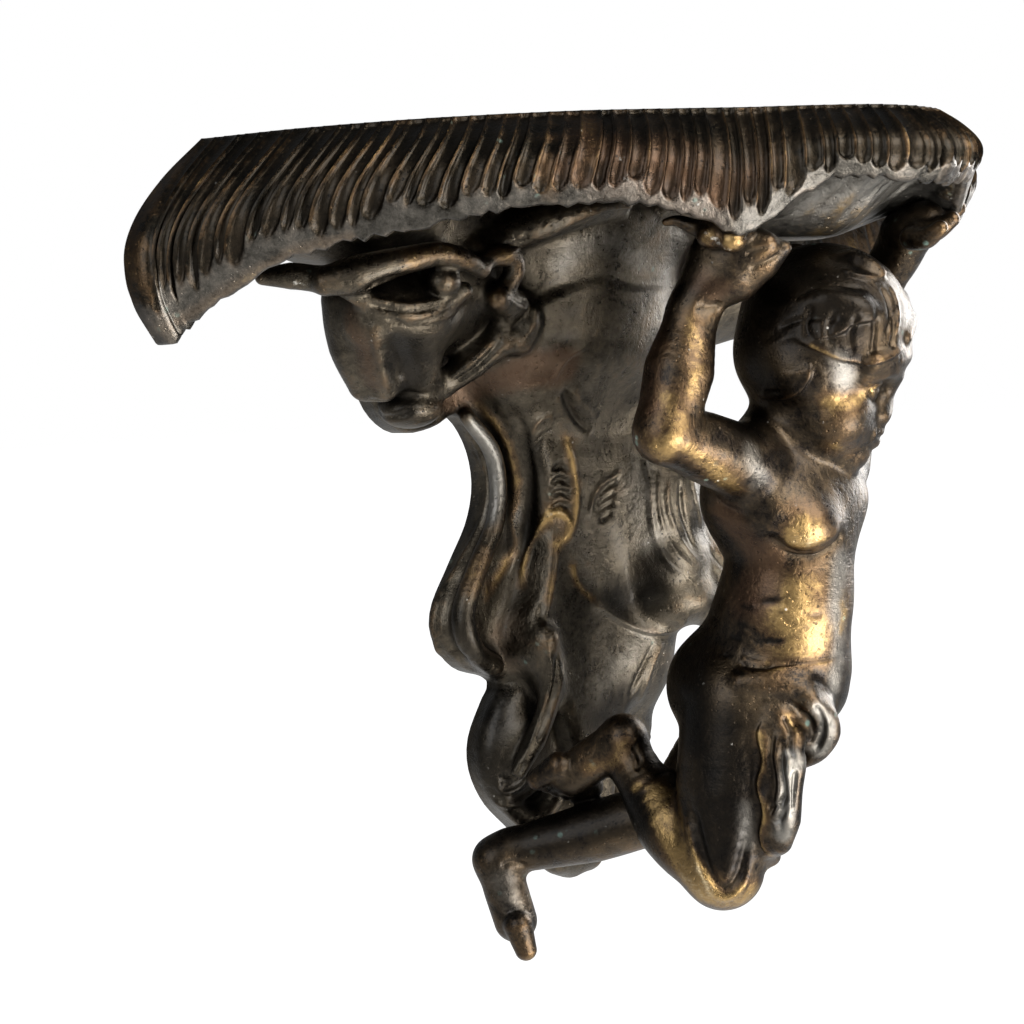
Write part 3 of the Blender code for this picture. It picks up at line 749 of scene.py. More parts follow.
def bronzeFinish(name, deep, mid, goldGain):
    # old dark bronze: olive-brown patina, rubbed through to brass on the crests, dirt in the recesses
    # deepened by painted occlusion shade, painted shade, grey painted sheen, painted highlights in pale gold,
    # and a few specks of verdigris and lime
    f = Finish(name)
    c = bronzeColours
    broad = f.noise(14, 3.0)
    cloud = f.noise(46, 6.0, 0.62, distortion=0.6)
    blotch = f.noise(150, 6.0, 0.66, distortion=0.3)
    fine = f.noise(480, 5.0, 0.66)
    grain = f.noise(1700, 3.0, 0.6)
    brushed = f.noise(90, 5.0, 0.72, ((1.0, 1.0, 12.0), (0.3, 0.5, 0.2)))
    crest, hollow, paintedOcclusion = f.attribute("crest"), f.attribute("hollow"), f.attribute("paintedOcclusion")
    # rub: rubbed brass, and painted highlights on the calf, the brow, the cheek and the front soffit
    rub, russet = f.attribute("rub"), f.attribute("russet")
    sheen, pale, dark = f.attribute("sheen"), f.attribute("pale"), f.attribute("dark")

    grit = (blotch - 0.5) * 1.3 + (fine - 0.5) * 1.1 + (grain - 0.5) * 0.5
    # rubbed brass and painted highlights, less dirt in the hollows, painted occlusion shade and painted shade
    # marks
    wearAndPaintedLight = (rub * 0.95 + crest * 0.42 * goldGain - hollow * 0.40 - paintedOcclusion * 0.45 - dark * 0.4
            + (cloud - 0.5) * 1.3 + grit * 0.55)
    brownish = wearAndPaintedLight.between(0.05, 0.45)
    golden = wearAndPaintedLight.between(0.40, 1.00)
    # pale gold where the rubbing is strongest: polished brass, and painted highlights where the marks are
    # strongest
    polishAndHighlight = (wearAndPaintedLight + (brushed - 0.5) * 0.8).between(1.0, 1.6)
    reddish = (russet + (broad - 0.5) * 1.3 + (cloud - 0.5) * 0.9).between(0.25, 0.85)
    # grey painted sheen: reflections painted into the colour
    paintedSheen = (sheen + (cloud - 0.5) * 0.7 + grit * 0.35).between(0.20, 0.95)
    # dirt in the hollows, deepened by painted occlusion shade
    dirtAndShade = (paintedOcclusion * 1.2 + hollow * 0.5 + grit * 0.35).between(0.35, 0.95)

    colour = f.blend((cloud * 0.6 + blotch * 0.4 + fine * 0.3).between(0.50, 0.80), deep, mid)
    colour = f.blend(brownish * 0.55, colour, c["brown"])
    colour = f.blend(reddish * 0.6, colour, c["russet"])
    # grey painted sheen
    colour = f.blend(paintedSheen * 0.75, colour, c["sheenGrey"])
    # dark marks: painted shade, and a few dark flakes on the belly
    colour = f.blend((dark + grit * 0.3).between(0.1, 0.9) * 0.85, colour, c["black"])
    # rubbed brass, turning pale gold for polish and for painted highlights
    colour = f.blend(golden, colour, f.blend(polishAndHighlight, c["gold"], c["paleGold"]))
    # painted occlusion shade and dirt darken the colour
    colour = f.blend(dirtAndShade * 0.85, colour, c["black"])
    green = f.specks(120, 0.20) * (broad + cloud * 0.6).between(0.86, 1.0)
    lime = f.specks(210, 0.16) * (cloud + fine * 0.4).between(0.78, 0.9)
    lime = lime.most((pale + (fine - 0.5) * 1.3).between(0.55, 0.85))
    colour = f.blend(green * 0.5, colour, c["verdigris"])
    colour = f.blend(lime * 0.7, colour, c["chalk"])
    f.put(f.shader.inputs["Base Color"], colour)

    crust = (green * 0.7).most(lime)
    f.put(f.shader.inputs["Metallic"], 1 - crust * 0.95)
    rough = 0.33 + grit * 0.22 + (cloud - 0.5) * 0.30 + dirtAndShade * 0.22 - golden * 0.03 + paintedSheen * 0.08
    f.put(f.shader.inputs["Roughness"], rough.most(0.15) + crust * 0.4)
    f.put(f.shader.inputs["Coat Weight"], (1 - crust) * (1 - dirtAndShade * 0.7) * (0.12 + paintedSheen * 0.25))
    f.shader.inputs["Coat Roughness"].default_value = 0.28
    f.shader.inputs["Coat IOR"].default_value = 1.5

    pits = f.specks(330, 0.22) * (cloud + fine * 0.5).between(0.68, 0.95)
    height = (cloud * 1.0 + blotch * 0.55 + fine * 0.22 + grain * 0.06 - pits * 0.5
              + (brushed - 0.5) * 0.10 + lime * 0.2)
    bump = f.node("ShaderNodeBump", {}, {"Height": height, "Strength": bronzeBump["strength"],
                                         "Distance": bronzeBump["height"]}, "Normal")
    f.put(f.shader.inputs["Normal"], bump)
    return f.material


# Shelf: a slab with a fluted rim that flares and hangs down on its three free sides

shelfSettings = {
    "top": 0.120,
    "slabThickness": 0.010,
    "flutesPerHalf": 50,
    "columnsPerFlute": 8,
    "fluteDepth": 0.0031,
    "lipWidth": 0.0045,
    "rimWall": 0.0080,
    "soffitLow": 0.071,
    "plan": [(-0.190, 0.000), (-0.179, -0.050), (-0.156, -0.100), (-0.121, -0.143), (-0.086, -0.168),
             (-0.063, -0.183), (-0.042, -0.200), (-0.021, -0.213), (0.000, -0.217)],
    "heightStops": [0.00, 0.10, 0.15, 0.20, 0.25, 0.34, 0.51, 0.60, 0.70, 0.745, 0.80, 0.83, 0.86, 1.00],
    "heights": [0.083, 0.071, 0.063, 0.055, 0.049, 0.044, 0.036, 0.036, 0.043, 0.050, 0.040, 0.033, 0.028,
                0.031],
    "flareStops": [0.00, 0.05, 0.10, 0.16, 0.34, 0.51, 0.66, 0.775, 0.83, 0.89, 1.00],
    "flares": [0.0415, 0.037, 0.034, 0.030, 0.022, 0.018, 0.016, 0.014, 0.015, 0.0165, 0.0172],
    "leanStops": [0.00, 0.08, 0.30, 0.45, 0.75, 0.85, 1.00],
    "leans": [0.000, 0.014, 0.015, 0.009, 0.003, 0.000, 0.000],
    "flareHeights": [0.00, 0.20, 0.42, 0.60, 0.82, 1.00],
    "flareShape": [0.00, 0.50, 0.88, 1.00, 0.92, 0.67],
    "seed": 4,
}


class ShelfEdge:
    # the rim of the left half, from the wall corner to the middle of the front

    def __init__(self, side):
        self.lift = 0.007 if side > 0 else 0.0
        self.path = smoothPath(shelfSettings["plan"], 600)
        run = np.gradient(self.path, axis=0)
        run /= np.linalg.norm(run, axis=1)[:, None]
        self.outward = np.stack([run[:, 1], -run[:, 0]], 1)
        self.outward[0] = (-1, 0)
        self.outward[-1] = (0, -1)
        self.length = np.linalg.norm(np.diff(self.path, axis=0), axis=1).sum()

    def place(self, s):
        at = np.linspace(0, 1, len(self.path))
        point = np.stack([np.interp(s, at, self.path[:, i]) for i in range(2)], 1)
        out = np.stack([np.interp(s, at, self.outward[:, i]) for i in range(2)], 1)
        return point, out / np.linalg.norm(out, axis=1)[:, None]

    def outer(self, s, v, carve):
        # points of the outer face at s along the edge and v of the way down, carved in by carve
        k = shelfSettings
        lean = along(s, k["leanStops"], k["leans"]) * ease(v) / self.length
        point, out = self.place(np.clip(s - lean * np.minimum(1, s / 0.04), 0, 1))
        flare = along(s, k["flareStops"], k["flares"]) * along(v, k["flareHeights"], k["flareShape"])
        xy = point + out * (flare - carve)[:, None]
        height = along(s, k["heightStops"], k["heights"]) - self.lift * np.exp(-((s - 0.74) / 0.07) ** 2)
        z = k["top"] - height * v
        return np.column_stack([xy[:, 0], np.minimum(xy[:, 1], 0), z])


def shelfRows(side):
    # rows of points over one half: from the middle of the top, over the rim, to the middle of the underside
    k = shelfSettings
    edge = ShelfEdge(side)
    count = k["flutesPerHalf"] * k["columnsPerFlute"]
    chance = np.random.default_rng(k["seed"] + (side > 0))
    flutes = k["flutesPerHalf"]
    shift = np.concatenate([[0], chance.uniform(-0.20, 0.20, flutes - 1), [0]])
    u = np.linspace(0, flutes, count + 1)
    s = np.interp(u, np.arange(flutes + 1), (np.arange(flutes + 1) + shift) / flutes)
    part = u - np.floor(u)
    which = np.clip(np.floor(u).astype(int), 0, flutes - 1)
    depth = chance.uniform(0.70, 1.25, flutes)[which] * k["fluteDepth"]
    ends = chance.uniform(0.76, 0.93, flutes)[which]
    wobble = np.interp(u * 2, np.arange(2 * flutes + 1), chance.uniform(-1, 1, 2 * flutes + 1))
    bow = np.sqrt(np.clip(1 - (2 * part - 1) ** 2, 0, 1)) ** 0.7
    ridge = np.exp(-(np.minimum(part, 1 - part) / 0.10) ** 2) * chance.uniform(0.05, 0.7, flutes)[which]
    ends = ends - 0.10 * (2 * part - 1) ** 2
    # masks beside the rows: grey painted sheen along the lip and brass on the ridges; under the front both
    # paint the soffit lighter, as lit from below
    rows, lipAndSoffitSheen, ridgeRubAndSoffitLight = [], [], []
    spine = along(s, [0.0, 0.15, 0.85, 1.0], [0.0, -0.01, -0.13, -0.14])
    point, out = edge.place(s)
    for t in np.linspace(0, 1, 14)[:-1]:
        rows.append(np.column_stack([point[:, 0] * t, spine + (point[:, 1] - spine) * t,
                                     np.full(len(s), k["top"])]))
        lipAndSoffitSheen.append(0 * s)
        ridgeRubAndSoffitLight.append(0 * s)
    for v in np.concatenate([[0, 0.012], np.linspace(0.03, 1.0, 44)]):
        closing = np.clip((ends - v) / 0.10, 0, 1)
        foot = np.sqrt(np.clip(1 - (1 - closing) ** 2, 0, 1))
        start = ease(v / 0.05) * 0.7 + 0.3
        if v == 0:
            start = 0.35
        carve = depth * bow * foot * start
        lip = ease((v - 0.88) / 0.12)
        carve = carve + (1 - foot) * 0.0006 * (1 - lip) - lip * 0.0006 * wobble
        row = edge.outer(s, v, carve)
        if v > 0.5:
            row[:, 2] += lip * 0.0012 * wobble
        rows.append(row)
        lipAndSoffitSheen.append(ease((v - ends + 0.02) / 0.05) * 0.5)
        ridgeRubAndSoffitLight.append(ridge * foot * ease(v / 0.05))
    lip = rows[-1]
    inward = np.column_stack([-out, np.zeros(len(s))])
    inward[0] = (1, 0, 0)
    for t, drop in ((0.25, -0.0008), (0.6, -0.0009), (1.0, 0.0008)):
        rows.append(lip + inward * k["lipWidth"] * t + np.array([0, 0, drop]))
        lipAndSoffitSheen.append(0.5 + 0 * s)
        ridgeRubAndSoffitLight.append(0 * s)
    front = ease((s - 0.60) / 0.16)[:, None]
    slabUnder = k["top"] - k["slabThickness"]
    hollowEdge = np.column_stack([point - out * k["rimWall"], np.full(len(s), slabUnder)])
    soffitEdge = np.column_stack([lip[:, :2] + inward[:, :2] * 0.014, lip[:, 2] + 0.0060])
    shoulder = hollowEdge + (soffitEdge - hollowEdge) * front
    shoulder[:, 1] = np.minimum(shoulder[:, 1], 0)
    last = rows[-1]
    # the soffit under the front takes grey painted sheen and a painted glow of rubbed gold, as lit from below
    for t in np.linspace(0, 1, 13)[1:]:
        bent = last + (shoulder - last) * t
        bent[:, 2] += (1 - front[:, 0]) * (shoulder[:, 2] - last[:, 2]) * (ease(t) - t) * 0.4
        rows.append(bent)
        lipAndSoffitSheen.append(1.0 * front[:, 0])
        ridgeRubAndSoffitLight.append(0.45 * front[:, 0])
    low = slabUnder + (k["soffitLow"] - slabUnder) * front[:, 0]
    centre = np.column_stack([np.zeros(len(s)), spine, low])
    # on to the middle of the underside, with the same painted sheen and painted light under the front
    for t in np.linspace(0, 1, 26)[1:]:
        row = shoulder + (centre - shoulder) * t
        row[:, 2] = shoulder[:, 2] + (centre[:, 2] - shoulder[:, 2]) * ease(min(1, t * 1.7))
        rows.append(row)
        lipAndSoffitSheen.append(1.0 * front[:, 0])
        ridgeRubAndSoffitLight.append(0.45 * front[:, 0])
    rows = np.array(rows)
    rows[:, -1, 0] = 0
    rows[:, 0, 1] = 0
    rows[:, :, 1] = np.minimum(rows[:, :, 1], 0)
    return rows, np.array(lipAndSoffitSheen), np.array(ridgeRubAndSoffitLight)


# their occlusion is painted as shade on the later pieces
shelterTrees = []  # finished pieces, which shelter the later ones


def makeShelf(material):
    left, right = shelfRows(-1), shelfRows(1)
    rows = np.concatenate([left[0], (right[0] * np.array([-1, 1, 1]))[:, ::-1][:, 1:]], axis=1)
    lipAndSoffitSheen, ridgeRubAndSoffitLight = (np.concatenate([left[k], right[k][:, ::-1][:, 1:]], axis=1) for k in (1, 2))
    down, across = rows.shape[:2]
    bm = bmesh.new()
    bmesh.ops.create_grid(bm, x_segments=across - 1, y_segments=down - 1, size=1.0)
    bm.verts.index_update()
    first = np.array([v.co for v in bm.verts])
    column = np.round((first[:, 0] + 1) / 2 * (across - 1)).astype(int)
    line = np.round((first[:, 1] + 1) / 2 * (down - 1)).astype(int)
    lipAndSoffitSheenLayer, ridgeRubAndSoffitLightLayer = bm.verts.layers.float.new("lip"), bm.verts.layers.float.new("ridge")
    for v, place, lip, ridge in zip(bm.verts, rows[line, column], lipAndSoffitSheen[line, column], ridgeRubAndSoffitLight[line, column]):
        v.co = place
        v[lipAndSoffitSheenLayer] = lip
        v[ridgeRubAndSoffitLightLayer] = ridge
    bmesh.ops.remove_doubles(bm, verts=bm.verts, dist=1e-6)
    bmesh.ops.holes_fill(bm, edges=[e for e in bm.edges if e.is_boundary], sides=0)
    bmesh.ops.triangulate(bm, faces=[f for f in bm.faces if len(f.verts) > 4])
    bmesh.ops.recalc_face_normals(bm, faces=bm.faces)
    mesh = bpy.data.meshes.new("shelfBronze")
    bm.to_mesh(mesh)
    bm.free()
    shelf = link("shelfBronze", mesh)
    relief = Relief(shelf)
    # lip layer: grey painted sheen on the lip and the front soffit; ridge layer: brass on the ridges and
    # painted light on the soffit
    for name, mask in (("lip", "sheen"), ("ridge", "rub")):
        values = np.zeros(len(mesh.vertices), np.float32)
        mesh.attributes[name].data.foreach_get("value", values)
        relief.masks[mask] = values.astype(float)
        mesh.attributes.remove(mesh.attributes[name])
    shelfRelief(relief)
    relief.finish(1.2)
    shelterTrees.append(relief.tree)
    dress(shelf, "shelf", material)
    return shelf


def shelfRelief(r):
    grooves = [
        [(975, 165), (935, 190), (900, 214), (872, 240)],
        [(955, 178), (915, 200), (885, 222), (860, 246)],
        [(925, 184), (890, 205), (862, 228)],
        [(890, 182), (862, 200), (838, 222)],
        [(862, 180), (838, 196), (812, 216)],
        [(835, 182), (812, 197), (790, 216)],
    ]
    for path in grooves:
        r.line(r.seen(path), 2.2, -1.0)
    for path in ([(885, 203), (897, 192), (905, 190)], [(893, 210), (905, 198), (914, 196)],
                 [(903, 215), (914, 204), (922, 203)]):
        r.line(r.seen(path), 1.6, 1.1)
    r.mark("rub", r.seen([(155, 330), (175, 322), (205, 305), (240, 283), (290, 252), (350, 237)]), 3.0, 0.35)
    r.mark("russet", r.seen([(600, 140), (640, 160), (690, 170), (730, 180)]), 26, 0.55)
    r.mark("rub", r.seen([(545, 130), (548, 165), (550, 190)]), 5, 0.55)
    r.mark("rub", r.seen([(592, 125), (595, 160)]), 4, 0.55)
    for place in ((622, 160), (630, 170), (626, 178)):
        r.mark("pale", r.seen([place]), 2.5, 0.7)
    # painted light on the front soffit: grey sheen and a glow of rubbed gold, as lit from below
    r.mark("sheen", r.seen([(900, 195), (860, 215), (830, 200), (800, 205)]), 16, 0.9)
    r.mark("rub", r.seen([(960, 176), (920, 200), (885, 226), (850, 244), (800, 236)]), 16, 0.42)
    r.mark("pale", r.seen([(180, 178), (198, 176), (216, 182), (232, 190)]), 0.7, 1.0)


# Console: a shallow plate with three scrolled lobes on each side, a drum under the shelf and leaves

consoleSettings = {
    "voxel": 0.0011,
    "quickVoxel": 0.0020,
    "triangles": 190000,
    "plateThickness": 0.013,
    "shieldDepth": 0.034,
    "shield": [(-0.060, 0.040), (-0.052, 0.012), (-0.039, -0.012), (-0.031, -0.036), (-0.029, -0.058),
               (-0.034, -0.080), (-0.044, -0.100), (-0.036, -0.122), (-0.022, -0.142), (-0.014, -0.165),
               (-0.008, -0.190), (0.000, -0.198)],
    "contactGap": 0.0004,
    "outline": [(-0.134, 0.112), (-0.125, 0.078), (-0.119, 0.055), (-0.116, 0.028), (-0.110, 0.007),
                (-0.095, -0.005), (-0.077, -0.004), (-0.062, 0.001), (-0.050, -0.012), (-0.0455, -0.030),
                (-0.050, -0.048), (-0.062, -0.066), (-0.074, -0.085), (-0.074, -0.100), (-0.062, -0.114),
                (-0.040, -0.122), (-0.045, -0.131), (-0.0545, -0.147), (-0.055, -0.162), (-0.047, -0.178),
                (-0.034, -0.191), (-0.018, -0.205), (0.000, -0.218)],
}


def consoleOutline():
    left = smoothPath(consoleSettings["outline"], 90)
    right = left[:-1][::-1] * np.array([-1, 1])
    return np.vstack([left, right])


def drawn(side, *points):
    # places given as picture x, picture y and depth, on the left; side 1 mirrors them to the right
    found = [seenAt(px, py, y) for px, py, y in points]
    return [(-side * x, y, z) for x, y, z in found]


def consoleTrunk(clay):
    k = consoleSettings
    half = smoothPath(k["shield"], 60)
    outline = np.vstack([half, half[:-1][::-1] * np.array([-1, 1])])
    clay.plate(outline, k["shieldDepth"], 0.008, blend=0.010)
    clay.strand([(0, -0.006, 0.060), (0, -0.008, -0.020), (0, -0.008, -0.100), (0, -0.006, -0.190),
                 (0, -0.006, -0.206)], [0.050, 0.030, 0.024, 0.014, 0.009], blend=0.020)
    clay.ball((0, -0.022, 0.086), (0.076, 0.048, 0.040), blend=0.016)
    clay.ball((0, -0.018, 0.038), (0.070, 0.045, 0.036), blend=0.020)
    clay.strand([(-0.008, -0.010, -0.209), (0.010, -0.010, -0.211)], [0.009, 0.009], blend=0.004)


def leftSeen(clay, lift, points):
    # found once on the left half and kept for the mirrored half, which the camera sees from behind
    if points not in leftPlaces:
        leftPlaces[points] = clay.seen(lift, *points)
    return leftPlaces[points]


leftPlaces = {}


def consoleSide(clay, side):
    def put(*points):
        return [(side * x, y, z) for x, y, z in points]

    clay.ball((side * 0.112, -0.016, 0.090), (0.068, 0.040, 0.026), blend=0.010)
    clay.ball((side * 0.092, -0.014, 0.062), (0.038, 0.040, 0.036), blend=0.010)
    # hanging lobe: flat left face, upright ridge, right face turned away, bulb below; the far one is short
    fall = 1.0 if side < 0 else 0.35

    def hung(*points):
        return drawn(side, *[(px, 300 + (py - 300) * fall, y) for px, py, y in points])

    clay.strand(hung((346, 300, -0.022), (352, 345, -0.021), (366, 383, -0.018)),
                [0.0105, 0.0100, 0.0080], blend=0.004)
    clay.strand(hung((372, 305, -0.034), (376, 345, -0.032), (384, 385, -0.026)),
                [0.0110, 0.0095, 0.0075], blend=0.004)
    clay.strand(hung((402, 310, -0.036), (410, 350, -0.030), (414, 388, -0.020)),
                [0.0170, 0.0140, 0.0110], blend=0.006)
    if side < 0:
        clay.ball(drawn(side, (410, 409, -0.020))[0], (0.0140, 0.013, 0.0085), blend=0.002)
    clay.ball(hung((398, 318, -0.034))[0], (0.028, 0.024, 0.015), blend=0.008)
    # small leaf under the wing, long rolled leaf and the folded lip below it
    clay.strand(drawn(side, (263, 277, -0.020), (292, 276, -0.028), (318, 279, -0.034)),
                [0.0034, 0.0055, 0.0055], blend=0.005)
    clay.strand(drawn(side, (326, 281, -0.040), (350, 276, -0.046), (378, 268, -0.052), (408, 260, -0.058),
                      (438, 254, -0.062), (462, 259, -0.064), (482, 270, -0.062)),
                [0.0062, 0.0080, 0.0068, 0.0056, 0.0050, 0.0044, 0.0034], blend=0.0035)
    clay.strand(drawn(side, (346, 290, -0.040), (376, 304, -0.045), (412, 309, -0.050), (446, 301, -0.056),
                      (464, 290, -0.060)), [0.0034, 0.0048, 0.0056, 0.0048, 0.0036], blend=0.004)
    clay.groove(drawn(side, (362, 287, -0.050), (388, 284, -0.056), (414, 280, -0.060), (430, 279, -0.062)),
                [0.0020, 0.0036, 0.0036, 0.0022], blend=0.002)
    clay.ball(drawn(side, (444, 281, -0.059))[0], (0.0072, 0.0065, 0.0065), blend=0.003)
    # hooked leaf, fan and frond against the drum
    def onClay(lift, *points):
        return [(side * -x, y, z) for x, y, z in leftSeen(clay, lift, points)]

    clay.strand(drawn(side, (480, 266, -0.061), (494, 257, -0.061), (510, 257, -0.060), (514, 270, -0.058),
                      (508, 283, -0.056), (498, 293, -0.053)),
                [0.0034, 0.0040, 0.0048, 0.0050, 0.0044, 0.0036], blend=0.003)
    clay.strand(onClay(0.0015, (498, 298), (514, 308), (526, 322), (522, 342)),
                [0.0050, 0.0078, 0.0076, 0.0045], blend=0.005)
    clay.strand(onClay(0.0010, (476, 250), (500, 238), (535, 223), (580, 210), (620, 203)),
                [0.0048, 0.0076, 0.0078, 0.0062, 0.0045], blend=0.004)
    clay.strand(drawn(side, (447, 385, -0.026), (470, 366, -0.034), (500, 342, -0.044)),
                [0.0045, 0.0065, 0.0055], blend=0.010)
    # rolled edge of the middle lobe, and its cup
    clay.strand(put((0.062, -0.016, 0.000), (0.0485, -0.018, -0.018), (0.0475, -0.018, -0.044),
                    (0.061, -0.018, -0.068), (0.071, -0.018, -0.088), (0.066, -0.018, -0.103),
                    (0.052, -0.016, -0.113)),
                [0.0035, 0.0040, 0.0040, 0.0045, 0.0055, 0.0060, 0.0050], blend=0.004)
    clay.hollow((side * 0.054, -0.030, -0.090), (0.010, 0.012, 0.020), blend=0.008)
    # lowest lobe: a smooth leaf with a curled tip
    clay.ball((side * 0.034, -0.012, -0.154), (0.0205, 0.0115, 0.029), blend=0.008)
    if side < 0:
        clay.strand(drawn(side, (548, 640, -0.036), (551, 690, -0.034),
                          (538, 735, -0.030), (519, 772, -0.028)),
                    [0.0050, 0.0050, 0.0045, 0.0035], blend=0.008)
    clay.strand(put((0.046, -0.014, -0.176), (0.036, -0.019, -0.186), (0.024, -0.022, -0.180),
                    (0.014, -0.024, -0.160)), [0.0045, 0.0055, 0.0048, 0.0035], blend=0.004)


def consoleSwell(clay):
    # the right flank swells out further forward than the left, ending in a rolled rim
    clay.ball((0.043, -0.028, -0.040), (0.031, 0.027, 0.046), blend=0.020)
    clay.ball((0.046, -0.030, -0.072), (0.028, 0.024, 0.020), blend=0.006)
    clay.strand([(0.062, -0.034, -0.004), (0.066, -0.038, -0.030), (0.065, -0.040, -0.056),
                 (0.070, -0.046, -0.078), (0.074, -0.050, -0.092), (0.066, -0.050, -0.104)],
                [0.0020, 0.0035, 0.0040, 0.0055, 0.0070, 0.0060], blend=0.006)
    clay.ball((0.052, -0.036, -0.092), (0.024, 0.020, 0.014), blend=0.010)
    clay.ball((0.036, -0.014, -0.116), (0.028, 0.024, 0.032), blend=0.012)


consoleLines = [  # kind, width and height in millimetres, places in the picture
    ("line", 1.5, -1.4, [(449, 386), (466, 375), (482, 362), (496, 347), (507, 330)]),
    ("line", 1.8, 1.0, [(445, 382), (462, 370), (479, 355), (495, 338)]),
    ("line", 2.2, 1.5, [(372, 318), (377, 345), (382, 370), (390, 396)]),
    ("line", 4.5, -1.5, [(392, 330), (396, 356), (402, 384)]),
    ("line", 1.6, -1.4, [(366, 398), (380, 402), (396, 398), (414, 394), (432, 392)]),
    ("line", 1.4, -1.6, [(377, 410), (390, 418), (402, 416), (414, 409)]),
    ("layer", 5.0, 1.0, [(386, 311), (412, 318), (434, 314), (452, 306)]),
    ("layer", 5.0, 1.0, [(392, 317), (412, 325), (436, 322), (460, 308)]),
    ("line", 1.0, -0.9, [(496, 293), (503, 320), (509, 336)]),
    ("line", 1.0, -0.8, [(498, 290), (512, 310), (522, 328)]),
    ("line", 1.0, -0.8, [(500, 288), (516, 298), (530, 306)]),
    ("line", 1.4, 0.9, [(522, 294), (534, 310), (530, 330), (520, 342)]),
    ("layer", 8.0, 1.4, [(508, 256), (540, 238), (575, 222), (610, 210), (640, 203)]),
    ("line", 1.2, -1.0, [(505, 250), (530, 236), (560, 224), (590, 214)]),
    ("line", 0.9, -0.7, [(520, 244), (526, 232), (530, 222)]),
    ("line", 0.9, -0.7, [(534, 236), (541, 226), (547, 216)]),
    ("line", 0.9, -0.7, [(548, 230), (556, 220), (563, 211)]),
    ("line", 0.9, -0.7, [(562, 224), (571, 215), (580, 207)]),
    ("line", 3.4, 0.8, [(668, 296), (630, 294), (600, 288), (575, 294), (548, 304), (534, 316)]),
    ("line", 2.6, -0.6, [(668, 284), (630, 282), (600, 275), (575, 281), (548, 290), (530, 300)]),
    ("line", 1.5, 1.2, [(362, 296), (388, 303), (412, 305), (440, 300), (464, 290)]),
    ("line", 1.2, -1.2, [(366, 303), (392, 310), (414, 312), (440, 307)]),
    ("line", 1.2, 1.0, [(370, 308), (394, 316), (416, 318), (440, 312)]),
    ("line", 1.2, -1.0, [(384, 316), (400, 321), (420, 323), (438, 318)]),
    ("line", 3.4, 1.6, [(477, 402), (500, 430), (512, 460), (516, 492), (512, 520), (514, 545), (503, 566),
                        (489, 592)]),
    ("line", 3.6, -1.9, [(512, 402), (524, 440), (530, 480), (528, 515), (522, 548)]),
    ("line", 1.2, 0.8, [(465, 432), (484, 464), (487, 500), (474, 536), (450, 578), (444, 602)]),
    ("line", 1.8, 1.4, [(566, 438), (573, 467), (576, 495), (574, 520), (568, 536), (558, 545)]),
    ("line", 1.15, -1.9, [(552, 472), (560, 466), (569, 470)]),
    ("line", 1.15, -1.9, [(551, 485), (560, 479), (570, 483)]),
    ("line", 1.15, -1.9, [(550, 498), (560, 492), (571, 496)]),
    ("line", 1.15, -1.9, [(549, 511), (560, 504), (572, 509)]),
    ("line", 1.0, 0.7, [(550, 478), (560, 473), (570, 477)]),
    ("line", 1.0, 0.7, [(549, 491), (560, 486), (571, 490)]),
    ("line", 1.0, 0.7, [(548, 505), (560, 498), (572, 503)]),
    ("line", 1.4, 1.3, [(522, 585), (524, 565), (532, 542), (543, 522), (553, 512), (566, 516), (569, 530),
                        (560, 543)]),
    ("line", 3.2, 1.6, [(554, 528), (554, 540), (552, 560), (547, 590), (542, 615)]),
    ("line", 1.3, 1.0, [(558, 545), (556, 565), (550, 598), (546, 622)]),
    ("line", 1.4, -1.0, [(548, 560), (545, 590), (538, 625)]),
    ("line", 1.4, 0.8, [(572, 565), (577, 583), (590, 598)]),
    ("layer", 6.0, 2.0, [(582, 592), (596, 608), (620, 624), (650, 634), (676, 628), (692, 606)]),
    ("line", 0.7, 0.7, [(552, 384), (566, 360), (590, 344)]),
    ("line", 1.8, 0.8, [(640, 450), (650, 480), (652, 520), (664, 556), (686, 578)]),
    ("line", 1.2, -1.3, [(599, 497), (608, 487), (619, 481)]),
    ("line", 1.2, -1.3, [(597, 506), (607, 498), (617, 492)]),
    ("line", 1.2, -1.3, [(597, 514), (606, 507), (615, 502)]),
    ("line", 1.2, -1.1, [(599, 521), (607, 516), (612, 512)]),
    ("line", 1.2, 1.1, [(590, 520), (592, 500), (600, 485), (614, 476), (624, 466)]),
    ("line", 1.7, -2.0, [(564, 386), (567, 402), (577, 420), (592, 434)]),
    ("line", 2.4, 1.2, [(572, 384), (582, 402), (598, 420)]),
    ("line", 1.2, 0.9, [(530, 440), (536, 425), (548, 416), (554, 424)]),
    ("line", 1.2, -0.8, [(534, 452), (541, 438), (552, 430)]),
    ("line", 1.0, 0.8, [(659, 470), (659, 510), (676, 552), (698, 570)]),
    ("line", 1.0, 0.8, [(670, 470), (668, 506), (684, 545), (700, 566)]),
    ("line", 1.3, -1.4, [(680, 478), (682, 510), (697, 552)]),
    ("line", 1.2, 0.9, [(549, 600), (545, 627), (549, 655), (552, 678), (540, 720), (519, 766)]),
    ("line", 1.6, -1.2, [(556, 630), (556, 668), (549, 705), (530, 750)]),
    ("line", 1.6, 0.8, [(566, 640), (562, 680), (548, 725), (528, 775)]),
    ("line", 1.4, -1.0, [(656, 640), (642, 668), (628, 700)]),
    ("line", 1.5, 0.8, [(664, 640), (650, 672), (636, 706)]),
    ("line", 1.8, 1.1, [(455, 562), (441, 590), (432, 622), (437, 650), (452, 672), (484, 680)]),
    ("line", 2.6, -2.0, [(466, 566), (452, 596), (446, 626), (454, 650), (474, 662)]),
    ("line", 1.4, 1.2, [(495, 780), (502, 792), (520, 787), (532, 768)]),
    ("line", 1.6, -1.3, [(499, 772), (507, 782), (518, 774), (526, 758)]),
    ("line", 1.2, 0.9, [(490, 798), (508, 806), (530, 794), (548, 770)]),
]

